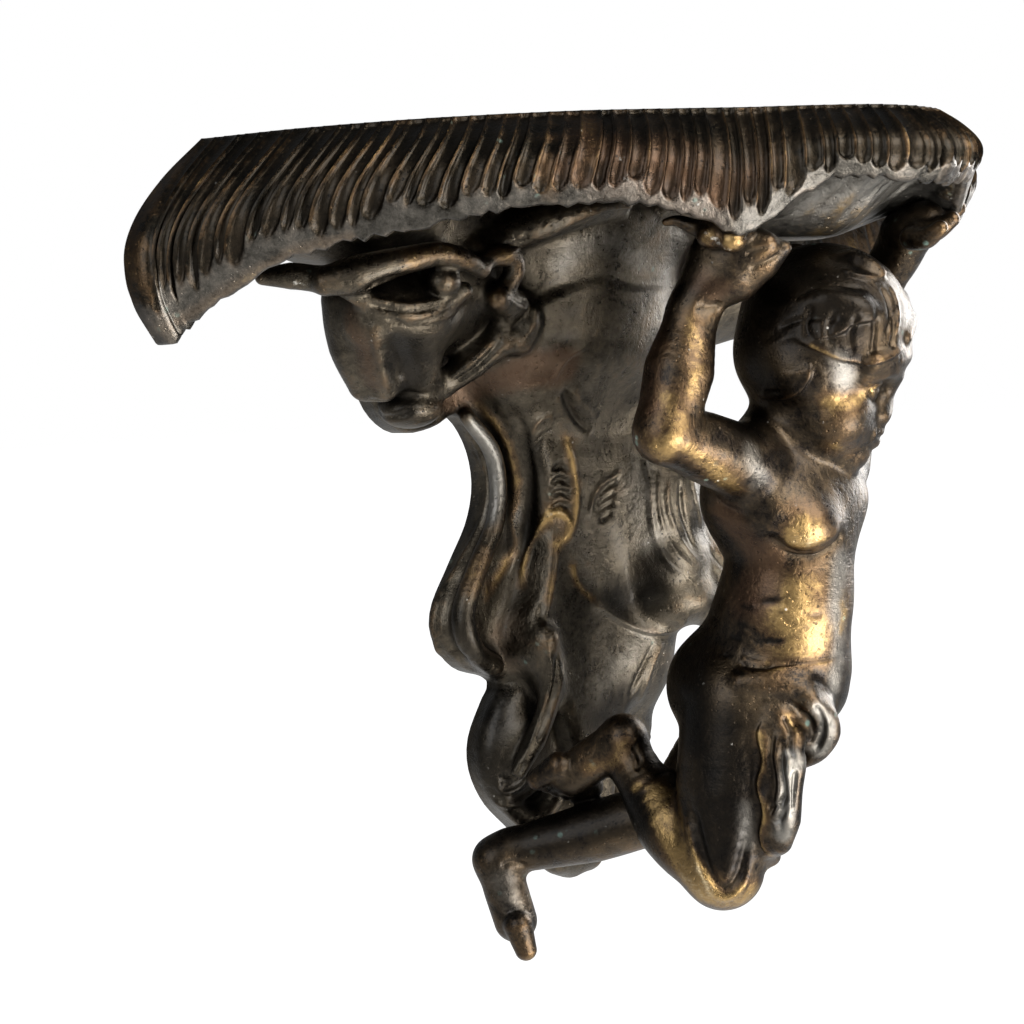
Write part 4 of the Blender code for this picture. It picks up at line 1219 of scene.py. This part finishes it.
consoleMarks = [  # mask, width in millimetres, amount, places in the picture
    ("rub", 4.6, 0.85, [(478, 404), (500, 430), (512, 460), (516, 492), (508, 522)]),
    ("rub", 4.2, 0.75, [(512, 530), (514, 545), (503, 566), (489, 592)]),
    ("rub", 6.0, 0.36, [(476, 570), (470, 580), (482, 560)]),
    ("rub", 3.2, 0.85, [(566, 440), (573, 467), (576, 495), (574, 520), (568, 536), (558, 545)]),
    ("rub", 3.8, 0.85, [(522, 585), (524, 565), (532, 542), (543, 522), (553, 512), (566, 516), (569, 530)]),
    ("rub", 2.0, 0.58, [(552, 575), (548, 600)]),
    ("rub", 2.2, 0.80, [(572, 565), (577, 583), (590, 598)]),
    ("rub", 4.2, 0.40, [(412, 257), (445, 250), (470, 262)]),
    ("rub", 5.1, 0.43, [(505, 255), (515, 270), (500, 285), (490, 297)]),
    ("rub", 3.4, 0.29, [(485, 345), (470, 358)]),
    # grey painted sheen: reflections on the left flank, the swell, the sheet below it, the lowest lobe and
    # the drum
    ("sheen", 7.0, 0.95, [(478, 428), (492, 450), (496, 480), (488, 515)]),
    ("sheen", 14.0, 0.45, [(640, 470), (640, 510), (650, 540)]),
    ("sheen", 13.0, 0.45, [(640, 640), (620, 660), (600, 690)]),
    ("sheen", 10.0, 0.6, [(505, 700), (500, 730)]),
    ("sheen", 10.0, 0.5, [(560, 260), (600, 240), (640, 260)]),
    ("russet", 12.0, 1.1, [(455, 395), (480, 385), (520, 375), (560, 368)]),
    ("russet", 7.0, 0.6, [(350, 310), (362, 350), (372, 385)]),
    ("russet", 14.0, 0.4, [(520, 620), (500, 650)]),
    # painted shade in the hollows and undersides of the lobes, the cup, the rib's groove and behind the
    # figure's legs
    ("dark", 12.0, 0.9, [(620, 598), (642, 592), (662, 565)]),
    ("dark", 7.0, 0.5, [(530, 450), (536, 500), (528, 540)]),
    ("dark", 10.0, 0.9, [(400, 345), (412, 375), (405, 410)]),
    ("dark", 16.0, 0.8, [(500, 715), (492, 765), (520, 790)]),
    ("dark", 12.0, 0.9, [(600, 722), (622, 700)]),
    ("dark", 12.0, 0.7, [(466, 620), (480, 650)]),
    ("pale", 1.3, 1.0, [(508, 360)]),
    ("pale", 1.2, 1.0, [(520, 358)]),
    ("pale", 1.3, 1.0, [(503, 394)]),
    ("pale", 1.2, 0.8, [(560, 349)]),
    ("pale", 2.0, 0.7, [(295, 283), (310, 285)]),
]


def consoleRelief(r):
    # each line is drawn where the camera sees it, and again on the other side of the middle
    strokes = []
    for kind, width, height, points in consoleLines:
        path = r.seen(points)
        if len(path) < 2:
            continue
        strokes.append((kind, width, height, path))
        if max(x for x, _, _ in path) < -0.040:
            other = r.facing([(-x, y, z) for x, y, z in path], (0, 1, 0))
            strokes.append((kind, width, height, other[::-1] if kind == "layer" else other))
    marks = [(name, r.seen(points), width, amount) for name, width, amount, points in consoleMarks]
    for kind, width, height, path in strokes:
        getattr(r, kind)(path, width, height)
    for name, path, width, amount in marks:
        r.mark(name, path, width, amount)
        if path and max(x for x, _, _ in path) < -0.040:
            r.mark(name, r.facing([(-x, y, z) for x, y, z in path], (0, 1, 0)), width, amount * 0.6)


def makeConsole(material):
    k = consoleSettings
    clay = Clay()
    clay.plate(consoleOutline(), k["plateThickness"], 0.005)
    consoleTrunk(clay)
    consoleSide(clay, -1)
    consoleSide(clay, 1)
    consoleSwell(clay)
    console = clay.skin("consoleBronze", k["voxel"])
    relief = Relief(console)
    consoleRelief(relief)
    relief.settle(1, 0.25)
    relief.finish(1.0, shelterTrees)
    shelterTrees.append(relief.tree)
    console = reduced(console, k["triangles"])
    cutFlat(console, (0, 0, shelfSettings["top"] - shelfSettings["slabThickness"] - k["contactGap"]),
            (0, 0, 1))
    cutFlat(console, (0, -0.00001, 0), (0, 1, 0))
    dress(console, "console", material)
    return console


# Child figure: joints first, then the flesh round them. Its right side is at -X, nearest the camera.

puttoSettings = {
    "voxel": 0.00075,
    "quickVoxel": 0.0015,
    "triangles": 190000,
    "pelvis": (0.000, -0.128, -0.112),
    "belly": (0.000, -0.137, -0.084),
    "chest": (0.000, -0.141, -0.042),
    "neck": (0.002, -0.150, -0.018),
    "head": (0.0022, -0.1572, 0.0225),
    "headTurn": 41,
    "headNod": 14,
    "rightArm": ((-0.034, -0.150, -0.021), (-0.080, -0.148, -0.006), (-0.066, -0.153, 0.042)),
    "leftArm": ((0.034, -0.146, -0.025), (0.068, -0.128, -0.002), (0.0555, -0.1555, 0.050)),
    "rightLeg": ((-0.017, -0.130, -0.124), (-0.027, -0.126, -0.196), (-0.029, -0.078, -0.156)),
    "rightFoot": ((-0.030, -0.074, -0.144), (-0.040, -0.039, -0.169)),
    "leftLeg": ((0.016, -0.122, -0.124), (-0.006, -0.084, -0.177), (-0.053, -0.024, -0.197)),
    "leftFoot": ((-0.059, -0.020, -0.200), (-0.051, -0.027, -0.2395)),
}


def torso(clay):
    k = puttoSettings
    pelvis, belly, chest, neck, head = k["pelvis"], k["belly"], k["chest"], k["neck"], k["head"]
    clay.strand([pelvis, belly, middle(belly, chest, 0.5, (0.003, -0.002, 0)), chest],
                [0.029, 0.0255, 0.0230, 0.0265], blend=0.014)
    clay.ball(middle(chest, chest, 0, (0, 0.003, 0.006)), (0.037, 0.025, 0.027), blend=0.014)
    for side in (-1, 1):
        clay.ball((side * 0.0155, -0.1575, -0.040), (0.0195, 0.0125, 0.0160), blend=0.013)
    clay.ball((0.002, -0.1480, -0.064), (0.0240, 0.0215, 0.0300), blend=0.014)
    clay.ball((0.0005, -0.1455, -0.089), (0.0250, 0.0235, 0.0270), blend=0.014)
    clay.ball((0.0025, -0.1420, -0.115), (0.0275, 0.0245, 0.0220), blend=0.014)
    for side in (-1, 1):
        clay.ball((side * 0.015, -0.113, -0.120), (0.0190, 0.0200, 0.0230), blend=0.010)
    # breast with a crease under it, and the fold above the hips
    clay.ball(clay.seen(-0.0110, (806, 522))[0], (0.0150, 0.0130, 0.0130), blend=0.006)
    clay.groove(clay.seen(0.0006, (774, 542), (786, 551), (802, 555), (822, 551), (840, 538)),
                [0.0004, 0.0010, 0.0014, 0.0012, 0.0004], blend=0.006)
    clay.strand([chest, neck, middle(neck, head, 0.5)], [0.022, 0.018, 0.018], blend=0.012)
    clay.strand([middle(k["rightArm"][0], neck, 0.15, (0, 0.002, 0.004)),
                 middle(neck, head, 0.25, (-0.004, 0.006, 0))],
                [0.0100, 0.0090], blend=0.018)
    clay.strand([middle(k["leftArm"][0], neck, 0.15, (0, 0.002, 0.003)),
                 middle(neck, head, 0.25, (0.004, 0.006, 0))],
                [0.0100, 0.0090], blend=0.016)


def arm(clay, shoulder, elbow, wrist):
    clay.strand([shoulder, middle(shoulder, elbow), elbow], [0.0155, 0.0145, 0.0120], blend=0.007)
    clay.strand([elbow, middle(elbow, wrist, 0.35), wrist], [0.0120, 0.0142, 0.0095], blend=0.005)


def rightHand(clay, wrist):
    # bent back at the wrist, palm up: a broad wedge of closed fingers pointing to the front
    clay.strand([wrist, seenAt(708, 286, -0.158), seenAt(732, 269, -0.166), seenAt(758, 257, -0.176),
                 seenAt(784, 248, -0.186)],
                [0.0098, 0.0115, 0.0135, 0.0098, 0.0030], blend=0.005)
    clay.strand([seenAt(708, 270, -0.158), seenAt(716, 250, -0.162), seenAt(742, 242, -0.174),
                 seenAt(766, 242, -0.184)],
                [0.0085, 0.0098, 0.0082, 0.0040], blend=0.006)
    # lump of braze where the hand meets the rim, and a run of it to the left
    for px, py, y, size in ((712, 236, -0.172, 0.0062), (724, 224, -0.174, 0.0078),
                            (738, 230, -0.178, 0.0062), (714, 222, -0.170, 0.0060),
                            (732, 240, -0.180, 0.0058), (722, 212, -0.170, 0.0052)):
        clay.ball(seenAt(px, py, y), (size, size, size * 0.85), blend=0.0025)
    clay.strand([seenAt(712, 234, -0.168), seenAt(694, 227, -0.162), seenAt(678, 221, -0.157),
                 seenAt(666, 222, -0.153)],
                [0.0038, 0.0034, 0.0026, 0.0016], blend=0.003)


def leftHand(clay, wrist):
    clay.strand([wrist, seenAt(896, 256, -0.166), seenAt(905, 238, -0.172)], [0.0095, 0.0105, 0.0110],
                blend=0.005)
    clay.ball(seenAt(912, 228, -0.176), (0.0120, 0.0120, 0.0085), blend=0.004)
    for tip, root in (((958, 208, -0.190), (922, 226, -0.180)), ((952, 219, -0.196), (918, 232, -0.184)),
                      ((940, 228, -0.202), (912, 238, -0.188)), ((956, 203, -0.184), (924, 218, -0.176))):
        bend = tuple((np.array(seenAt(*tip)) + np.array(seenAt(*root))) / 2 + np.array((0, 0, -0.002)))
        clay.strand([seenAt(*root), bend, seenAt(*tip)], [0.0052, 0.0046, 0.0034], blend=0.002)
    clay.ball(seenAt(925, 218, -0.182), (0.0085, 0.0085, 0.0075), blend=0.002)
    clay.strand([seenAt(898, 240, -0.170), seenAt(902, 222, -0.172), seenAt(914, 212, -0.176)],
                [0.0065, 0.0052, 0.0040], blend=0.003)


def leg(clay, hip, knee, ankle, bulge, stout):
    clay.strand([hip, middle(hip, knee, 0.45), knee],
                [0.0250 * stout, 0.0235 * stout, 0.0175 * stout], blend=0.006)
    calf = middle(knee, ankle, 0.42, bulge)
    clay.strand([knee, calf, ankle], [0.0160 * stout, 0.0160 * stout, 0.0100], blend=0.004)


def foot(clay, ankle, heel, toes, across):
    ballOfFoot = np.array(middle(heel, toes, 0.72))
    clay.strand([ankle, heel], [0.0100, 0.0098], blend=0.004)
    clay.strand([heel, middle(heel, toes, 0.4), ballOfFoot], [0.0096, 0.0100, 0.0098], blend=0.005)
    across = np.array(across)
    for k, size in enumerate((0.0050, 0.0042, 0.0040, 0.0037, 0.0034)):
        side = (k - 1.8) * 0.0052 * across
        tip = np.array(toes) + side * 1.1 - (np.array(toes) - ballOfFoot) * 0.07 * k
        clay.strand([tuple(ballOfFoot + side), tuple(tip)], [0.0066, size], blend=0.0018)


def drapery(clay):
    # a cloth slung round the hips, knotted in front, its end falling over the thigh in folds
    clay.strand([(-0.030, -0.118, -0.118), (-0.022, -0.142, -0.124), (0.000, -0.156, -0.128),
                 (0.022, -0.146, -0.122), (0.030, -0.120, -0.114)],
                [0.005, 0.006, 0.008, 0.007, 0.006], blend=0.006)
    clay.strand(clay.seen(-0.001, (742, 682), (770, 684), (800, 690), (822, 704)),
                [0.0035, 0.0060, 0.0066, 0.0040], blend=0.005)
    clay.ball(clay.seen(-0.005, (802, 726))[0], (0.0140, 0.0110, 0.0110), blend=0.006)
    clay.strand(clay.seen(0.0005, (812, 704), (824, 716), (827, 734), (816, 752), (802, 762)),
                [0.0040, 0.0054, 0.0056, 0.0048, 0.0030], blend=0.004)
    for lift, size, points in ((-0.003, 0.0060, [(767, 712), (765, 735), (767, 765), (765, 800), (767, 835),
                                                 (771, 856)]),
                               (-0.002, 0.0070, [(780, 716), (778, 750), (778, 785), (777, 815), (776, 844)]),
                               (-0.001, 0.0066, [(792, 740), (791, 762), (787, 790), (785, 820),
                                                 (781, 842)])):
        clay.strand(clay.seen(lift, *points), [size * 0.8] + [size] * (len(points) - 2) + [size * 0.7],
                    blend=0.005)


def headAxes():
    k = puttoSettings
    turn = Matrix.Rotation(radians(k["headTurn"]), 3, "Z") @ Matrix.Rotation(radians(k["headNod"]), 3, "X")

    def at(x, y, z):
        return tuple(Vector(k["head"]) + turn @ Vector((x, y, z)))

    return turn, at


def head(clay):
    turn, at = headAxes()

    def lump(x, y, z, radii, blend=0.006):
        clay.ball(at(x, y, z), radii, turn, blend)

    def feature(x, z, lift):
        return clay.met(at(x, -0.075, z), turn @ Vector((0, 1, 0)), lift)

    lump(0, -0.0040, 0.008, (0.0325, 0.0340, 0.0340))
    lump(0, -0.0100, -0.0180, (0.0245, 0.0240, 0.0245), 0.008)
    lump(0, -0.0225, 0.0020, (0.0240, 0.0140, 0.0145), 0.008)
    lump(0, -0.0260, -0.0255, (0.0118, 0.0085, 0.0105), 0.008)
    lump(0, -0.0250, -0.0375, (0.0090, 0.0085, 0.0065), 0.008)
    for side in (-1, 1):
        lump(side * 0.0145, -0.0170, -0.0240, (0.0118, 0.0108, 0.0112), 0.009)
    for place in [feature(side * 0.0140, -0.0088, 0.0010) for side in (-1, 1)]:
        clay.hollow(place, (0.0086, 0.0048, 0.0044), turn, 0.006)
    for side in (-1, 1):
        clay.ball(feature(side * 0.0142, -0.0092, -0.0020), (0.0058, 0.0048, 0.0042), turn, 0.0012)
        lid = [(0.0084, -0.0094, 0.0002), (0.0112, -0.0064, 0.0005), (0.0162, -0.0062, 0.0005),
               (0.0206, -0.0094, 0.0003)]
        clay.strand([feature(side * x, z, lift) for x, z, lift in lid], [0.0007, 0.0011, 0.0011, 0.0008],
                    0.0009)
        low = [(0.0084, -0.0098, 0.0001), (0.0140, -0.0128, 0.0002), (0.0202, -0.0100, 0.0002)]
        clay.strand([feature(side * x, z, lift) for x, z, lift in low], [0.0005, 0.0008, 0.0006], 0.0010)
        brow = [(0.0056, -0.0014, -0.0006), (0.0120, 0.0006, -0.0004), (0.0190, -0.0002, -0.0004),
                (0.0250, -0.0042, -0.0008)]
        clay.strand([feature(side * x, z, lift) for x, z, lift in brow], [0.0018, 0.0024, 0.0022, 0.0014],
                    0.005)
    nose = [feature(0, -0.0010, -0.0034), feature(0, -0.0095, -0.0030), feature(0, -0.0165, -0.0018)]
    wings = [feature(side * 0.0046, -0.0190, -0.0010) for side in (-1, 1)]
    upper = [feature(x, z, lift) for x, z, lift in
             ((-0.0080, -0.0272, -0.0008), (-0.0030, -0.0258, 0.0002), (0.0030, -0.0258, 0.0002),
              (0.0080, -0.0272, -0.0008))]
    under = [feature(x, z, lift) for x, z, lift in ((-0.0068, -0.0290, -0.0008), (0, -0.0305, 0.0002),
                                                    (0.0068, -0.0290, -0.0008))]
    clay.strand(nose, [0.0042, 0.0050, 0.0060], 0.008)
    for place in wings:
        clay.ball(place, (0.0034, 0.0038, 0.0028), turn, 0.004)
    clay.strand(upper, [0.0012, 0.0020, 0.0020, 0.0012], 0.003)
    clay.strand(under, [0.0012, 0.0023, 0.0012], 0.003)
    clay.groove([feature(-0.0080, -0.0280, 0.0002), feature(0, -0.0280, 0.0004),
                 feature(0.0080, -0.0280, 0.0002)],
                [0.0004, 0.0007, 0.0004], 0.0008)
    hair(clay, at, turn)


def hair(clay, at, turn):
    # a close cap of hair in broad soft waves, a lobe before each ear and a rolled forelock over the brow
    clay.ball(at(0, -0.0045, 0.0140), (0.0352, 0.0360, 0.0335), turn, 0.003)
    clay.ball(at(0, 0.008, -0.002), (0.0290, 0.0225, 0.0230), turn, 0.006)
    for side in (-1, 1):
        clay.ball(at(side * 0.0225, -0.0015, -0.0060), (0.0105, 0.0170, 0.0130), turn, 0.005)
    roll = [(-0.026, -0.0250, 0.0020), (-0.0145, -0.0340, 0.0060), (0.002, -0.0372, 0.0078),
            (0.0160, -0.0340, 0.0060),
            (0.026, -0.0250, 0.0020)]
    clay.strand([at(x, y, z) for x, y, z in roll], [0.0045, 0.0056, 0.0060, 0.0056, 0.0045], 0.003)
    front = [[(0.010, -0.0375, 0.0080), (0.019, -0.0330, 0.0100), (0.026, -0.0240, 0.0090)],
             [(0.000, -0.0380, 0.0140), (0.012, -0.0370, 0.0200), (0.022, -0.0290, 0.0220),
              (0.029, -0.0190, 0.0180)],
             [(-0.004, -0.0340, 0.0270), (0.008, -0.0320, 0.0310), (0.020, -0.0240, 0.0310)],
             [(-0.012, -0.0370, 0.0150), (-0.002, -0.0370, 0.0220), (0.008, -0.0330, 0.0280)]]
    for points in front:
        clay.strand([at(*place) for place in points], [0.0030] + [0.0046] * (len(points) - 2) + [0.0026],
                    0.003)
    locks = [  # lift and radii in millimetres, and places in the picture
        (-1.8, (1.5, 4.5, 4.5, 1.5), [(836, 258), (854, 260), (870, 268), (880, 276)]),
        (-3.4, (2.5, 6.0, 6.0, 2.5), [(796, 300), (828, 300), (856, 306), (878, 314)]),
    ]
    centre = Vector(at(0, 0, 0))
    for lift, radii, points in locks:
        path = clay.seen(lift / 1000, *points)
        local = [turn.transposed() @ (Vector(place) - centre) for place in path]
        size = [radius / 1000 for radius in radii]
        clay.strand(path, size, 0.003)
        if min(abs(v.x) for v in local) > 0.010:
            clay.strand([tuple(turn @ Vector((-v.x, v.y, v.z)) + centre) for v in local], size, 0.003)


puttoLines = [
    ("layer", 9.0, 1.1, [(776, 545), (790, 552), (806, 554), (822, 550), (840, 536)]),
    ("line", 1.8, 0.7, [(808, 549), (822, 545), (836, 535)]),
    ("line", 2.4, -1.7, [(688, 792), (697, 830), (706, 862), (716, 882), (727, 888), (738, 876), (745, 852),
                         (750, 822)]),
    ("line", 2.2, 0.9, [(682, 800), (691, 840), (700, 872), (714, 894), (728, 898), (745, 882), (754, 856)]),
    ("line", 2.0, -0.8, [(776, 538), (790, 549), (805, 553), (822, 549), (838, 538)]),
    ("layer", 5.0, 0.7, [(842, 655), (825, 661), (800, 664), (775, 668), (750, 668), (735, 660)]),
    ("line", 1.0, -1.1, [(738, 663), (750, 669), (764, 669), (776, 666)]),
    ("line", 1.4, 0.6, [(740, 657), (754, 662), (772, 662)]),
    ("line", 1.3, -0.4, [(752, 606), (768, 602), (784, 606)]),
    ("line", 1.3, -0.4, [(741, 622), (748, 628), (756, 626)]),
    ("line", 1.3, -0.4, [(728, 634), (735, 640), (741, 638)]),
    ("line", 1.3, -0.4, [(764, 640), (776, 642), (788, 640)]),
    ("line", 1.3, -0.4, [(724, 652), (734, 668), (740, 676)]),
    ("line", 1.2, -0.4, [(800, 612), (812, 616), (824, 614)]),
    ("line", 2.0, -0.6, [(716, 500), (735, 512), (752, 520)]),
    ("line", 2.4, -1.2, [(694, 306), (708, 309), (722, 304)]),
    ("line", 1.2, -0.9, [(748, 270), (766, 262), (782, 253)]),
    ("line", 1.1, -0.7, [(744, 256), (762, 249), (776, 245)]),
    ("line", 2.0, 0.6, [(762, 350), (786, 338), (806, 336)]),
    ("line", 1.4, -0.8, [(700, 300), (712, 306), (724, 304)]),
    ("layer", 7.0, 1.5, [(754, 388), (762, 396), (778, 399), (795, 395), (808, 383), (812, 368), (806, 358)]),
    ("line", 1.0, -0.8, [(764, 391), (780, 391), (795, 386), (804, 375)]),
    ("layer", 6.0, 1.6, [(790, 338), (806, 346), (822, 353), (838, 360), (852, 362), (866, 365), (880, 363),
                         (894, 357), (906, 344)]),
    ("line", 1.4, -1.0, [(812, 342), (806, 325), (812, 305)]),
    ("line", 1.4, -1.0, [(832, 350), (828, 328), (838, 308)]),
    ("line", 1.4, -1.0, [(852, 356), (850, 334), (858, 312)]),
    ("line", 1.4, -1.0, [(872, 358), (874, 338), (876, 316)]),
    ("line", 1.4, -1.0, [(890, 352), (894, 332), (892, 310)]),
    ("layer", 7.0, 1.5, [(812, 340), (826, 338), (842, 333), (856, 324), (878, 320)]),
    ("layer", 6.0, 1.3, [(838, 268), (852, 276), (866, 279), (880, 279), (884, 270)]),
    ("line", 1.4, -0.8, [(790, 300), (815, 288), (842, 286), (868, 292)]),
    ("line", 1.4, -0.8, [(776, 330), (800, 320), (824, 318), (844, 322)]),
    ("line", 1.2, 0.8, [(888, 282), (896, 300), (898, 322), (892, 340)]),
    ("line", 1.2, -0.9, [(880, 286), (888, 302), (890, 322), (884, 336)]),
    ("layer", 5.0, 1.7, [(764, 716), (757, 735), (763, 760), (757, 785), (764, 812), (760, 835), (768, 856)]),
    ("line", 1.3, 0.9, [(758, 735), (764, 760), (758, 785), (765, 812), (761, 835), (769, 855)]),
    ("line", 1.6, -1.5, [(774, 728), (771, 756), (774, 786), (770, 815), (775, 842)]),
    ("line", 1.4, -1.5, [(784, 738), (781, 762), (785, 790), (780, 818), (782, 838)]),
    ("line", 1.2, 0.9, [(778, 730), (776, 758), (779, 788), (775, 816)]),
    ("line", 1.2, 1.0, [(790, 752), (787, 778), (790, 802), (785, 826)]),
    ("line", 1.2, -1.3, [(796, 768), (794, 790), (790, 812)]),
    ("line", 1.3, -1.6, [(768, 812), (778, 804), (790, 794)]),
    ("line", 1.3, -1.6, [(772, 824), (782, 816), (792, 808)]),
    ("line", 1.4, -1.4, [(812, 702), (821, 714), (823, 734), (815, 754)]),
    ("line", 1.4, -1.3, [(802, 708), (811, 722), (812, 740), (804, 756)]),
    ("line", 1.2, 0.9, [(818, 708), (827, 722), (826, 740), (818, 752)]),
    ("line", 1.4, -1.3, [(782, 714), (790, 730), (789, 748), (794, 762)]),
    ("line", 1.2, -1.1, [(632, 745), (640, 760), (636, 772)]),
    ("line", 1.3, -1.0, [(500, 868), (512, 862), (528, 866)]),
]

puttoMarks = [
    ("rub", 9.0, 1.0, [(800, 535), (808, 542)]),
    ("rub", 12.0, 0.85, [(800, 590), (790, 620), (786, 645), (815, 640)]),
    ("rub", 6.0, 0.6, [(845, 600), (842, 630)]),
    ("rub", 8.0, 0.7, [(668, 400), (676, 430), (665, 448)]),
    ("rub", 6.0, 0.5, [(692, 330), (700, 360), (690, 390)]),
    ("rub", 5.0, 0.8, [(690, 448), (715, 470), (735, 490)]),
    # painted highlight down the calf, strong enough to reach pale gold
    ("rub", 8.5, 1.7, [(660, 798), (675, 830), (684, 860), (700, 885)]),
    ("rub", 3.0, 1.0, [(634, 790), (640, 786)]),
    ("rub", 4.0, 0.7, [(590, 770), (615, 762), (625, 745)]),
    ("rub", 8.0, 0.9, [(706, 896), (725, 902), (748, 896), (764, 878)]),
    ("rub", 3.0, 1.0, [(757, 735), (762, 760), (757, 785), (764, 812), (760, 835), (770, 855)]),
    ("rub", 4.5, 0.7, [(790, 722), (806, 720)]),
    # grey painted sheen: reflections on the cloth folds, the knot, the right edge of the belly and the thigh
    ("sheen", 5.0, 1.0, [(792, 758), (787, 795), (783, 835)]),
    ("sheen", 5.0, 0.9, [(818, 710), (828, 726), (820, 750), (804, 762)]),
    ("sheen", 7.0, 0.8, [(842, 560), (838, 600), (840, 640), (834, 690)]),
    ("sheen", 6.0, 0.7, [(744, 808), (746, 845)]),
    # painted gold reflection on the brow and the cheek
    ("rub", 5.0, 0.8, [(826, 402), (850, 400), (872, 392)]),
    ("rub", 5.0, 0.7, [(836, 448), (852, 450)]),
    ("rub", 2.2, 0.8, [(812, 346), (824, 353), (836, 359), (851, 361)]),
    ("rub", 1.8, 0.6, [(765, 397), (780, 398), (794, 394)]),
    ("rub", 1.8, 0.6, [(846, 331), (858, 324)]),
    ("rub", 1.4, 0.6, [(856, 277), (870, 279)]),
    ("rub", 6.0, 0.55, [(712, 236), (722, 216), (738, 226), (732, 242)]),
    ("russet", 14.0, 0.9, [(730, 520), (760, 560), (745, 600)]),
    ("russet", 10.0, 0.8, [(660, 330), (650, 370), (648, 400)]),
    ("russet", 12.0, 0.5, [(800, 500), (830, 510)]),
    ("russet", 8.0, 0.7, [(700, 285), (720, 290)]),
    # painted shade: the near thigh, the back, the far shin, the hair, the back of the head and under the jaw
    ("dark", 17.0, 1.0, [(716, 735), (722, 790), (718, 840)]),
    ("dark", 14.0, 1.0, [(690, 650), (694, 700), (700, 740)]),
    ("dark", 9.0, 0.9, [(712, 560), (700, 600), (688, 640)]),
    ("dark", 15.0, 1.0, [(530, 832), (580, 818), (640, 812)]),
    ("dark", 20.0, 0.9, [(770, 290), (812, 262), (850, 300), (800, 322)]),
    ("dark", 10.0, 0.8, [(752, 345), (758, 378)]),
    ("dark", 9.0, 0.8, [(742, 432), (756, 415)]),
    # dark flakes in the gilding of the belly
    ("dark", 1.6, 0.9, [(742, 606), (752, 608)]),
    ("dark", 1.6, 0.9, [(764, 601), (778, 599)]),
    ("dark", 1.6, 0.9, [(781, 612), (790, 612)]),
    ("dark", 1.6, 0.9, [(738, 624), (745, 626)]),
    ("dark", 1.8, 0.9, [(731, 637), (740, 639)]),
    ("dark", 1.6, 0.9, [(757, 640), (780, 641)]),
    ("dark", 1.6, 0.9, [(725, 654), (731, 656)]),
    ("dark", 1.8, 0.9, [(735, 670), (742, 674)]),
    # painted shade under the rim and on the far foot
    ("dark", 8.0, 0.6, [(690, 290), (692, 262)]),
    ("dark", 9.0, 0.6, [(498, 850), (505, 885)]),
    ("pale", 3.0, 0.45, [(748, 242), (764, 248)]),
    ("pale", 2.0, 0.7, [(706, 232), (730, 250)]),
    # grey painted sheen on the brow, the shoulder and low on the far leg
    ("sheen", 8.0, 0.7, [(840, 360), (845, 380)]),
    ("sheen", 7.0, 0.6, [(750, 450), (760, 480)]),
    ("sheen", 9.0, 0.5, [(500, 880), (515, 910)]),
]


def puttoRelief(r):
    strokes = [(kind, width, height, r.seen(points)) for kind, width, height, points in puttoLines]
    marks = [(name, r.seen(points), width, amount) for name, width, amount, points in puttoMarks]
    for kind, width, height, path in strokes:
        getattr(r, kind)(path, width, height)
    for name, path, width, amount in marks:
        r.mark(name, path, width, amount)


def makePutto(material):
    k = puttoSettings
    clay = Clay()
    torso(clay)
    arm(clay, *k["rightArm"])
    arm(clay, *k["leftArm"])
    leg(clay, *k["rightLeg"], (-0.001, 0.002, -0.004), 1.0)
    leg(clay, *k["leftLeg"], (0, 0.002, -0.002), 0.86)
    foot(clay, k["rightLeg"][2], *k["rightFoot"], (0.80, -0.10, -0.55))
    foot(clay, k["leftLeg"][2], *k["leftFoot"], (0.62, 0.78, 0.0))
    drapery(clay)
    head(clay)
    rightHand(clay, k["rightArm"][2])
    leftHand(clay, k["leftArm"][2])
    putto = clay.skin("puttoBronze", k["voxel"])
    relief = Relief(putto)
    puttoRelief(relief)
    relief.settle(1, 0.25)
    relief.finish(0.8, shelterTrees)
    putto = reduced(putto, k["triangles"])
    dress(putto, "putto", material)
    return putto


makeShelf(bronzeFinish("shelfFinish", deep=(0.012, 0.010, 0.007), mid=(0.030, 0.022, 0.014), goldGain=0.35))
makeConsole(bronzeFinish("consoleFinish", deep=(0.034, 0.028, 0.020), mid=(0.100, 0.083, 0.060),
                         goldGain=0.7))
makePutto(bronzeFinish("puttoFinish", deep=(0.013, 0.010, 0.008), mid=(0.070, 0.050, 0.030), goldGain=1.2))
print("all pieces made")
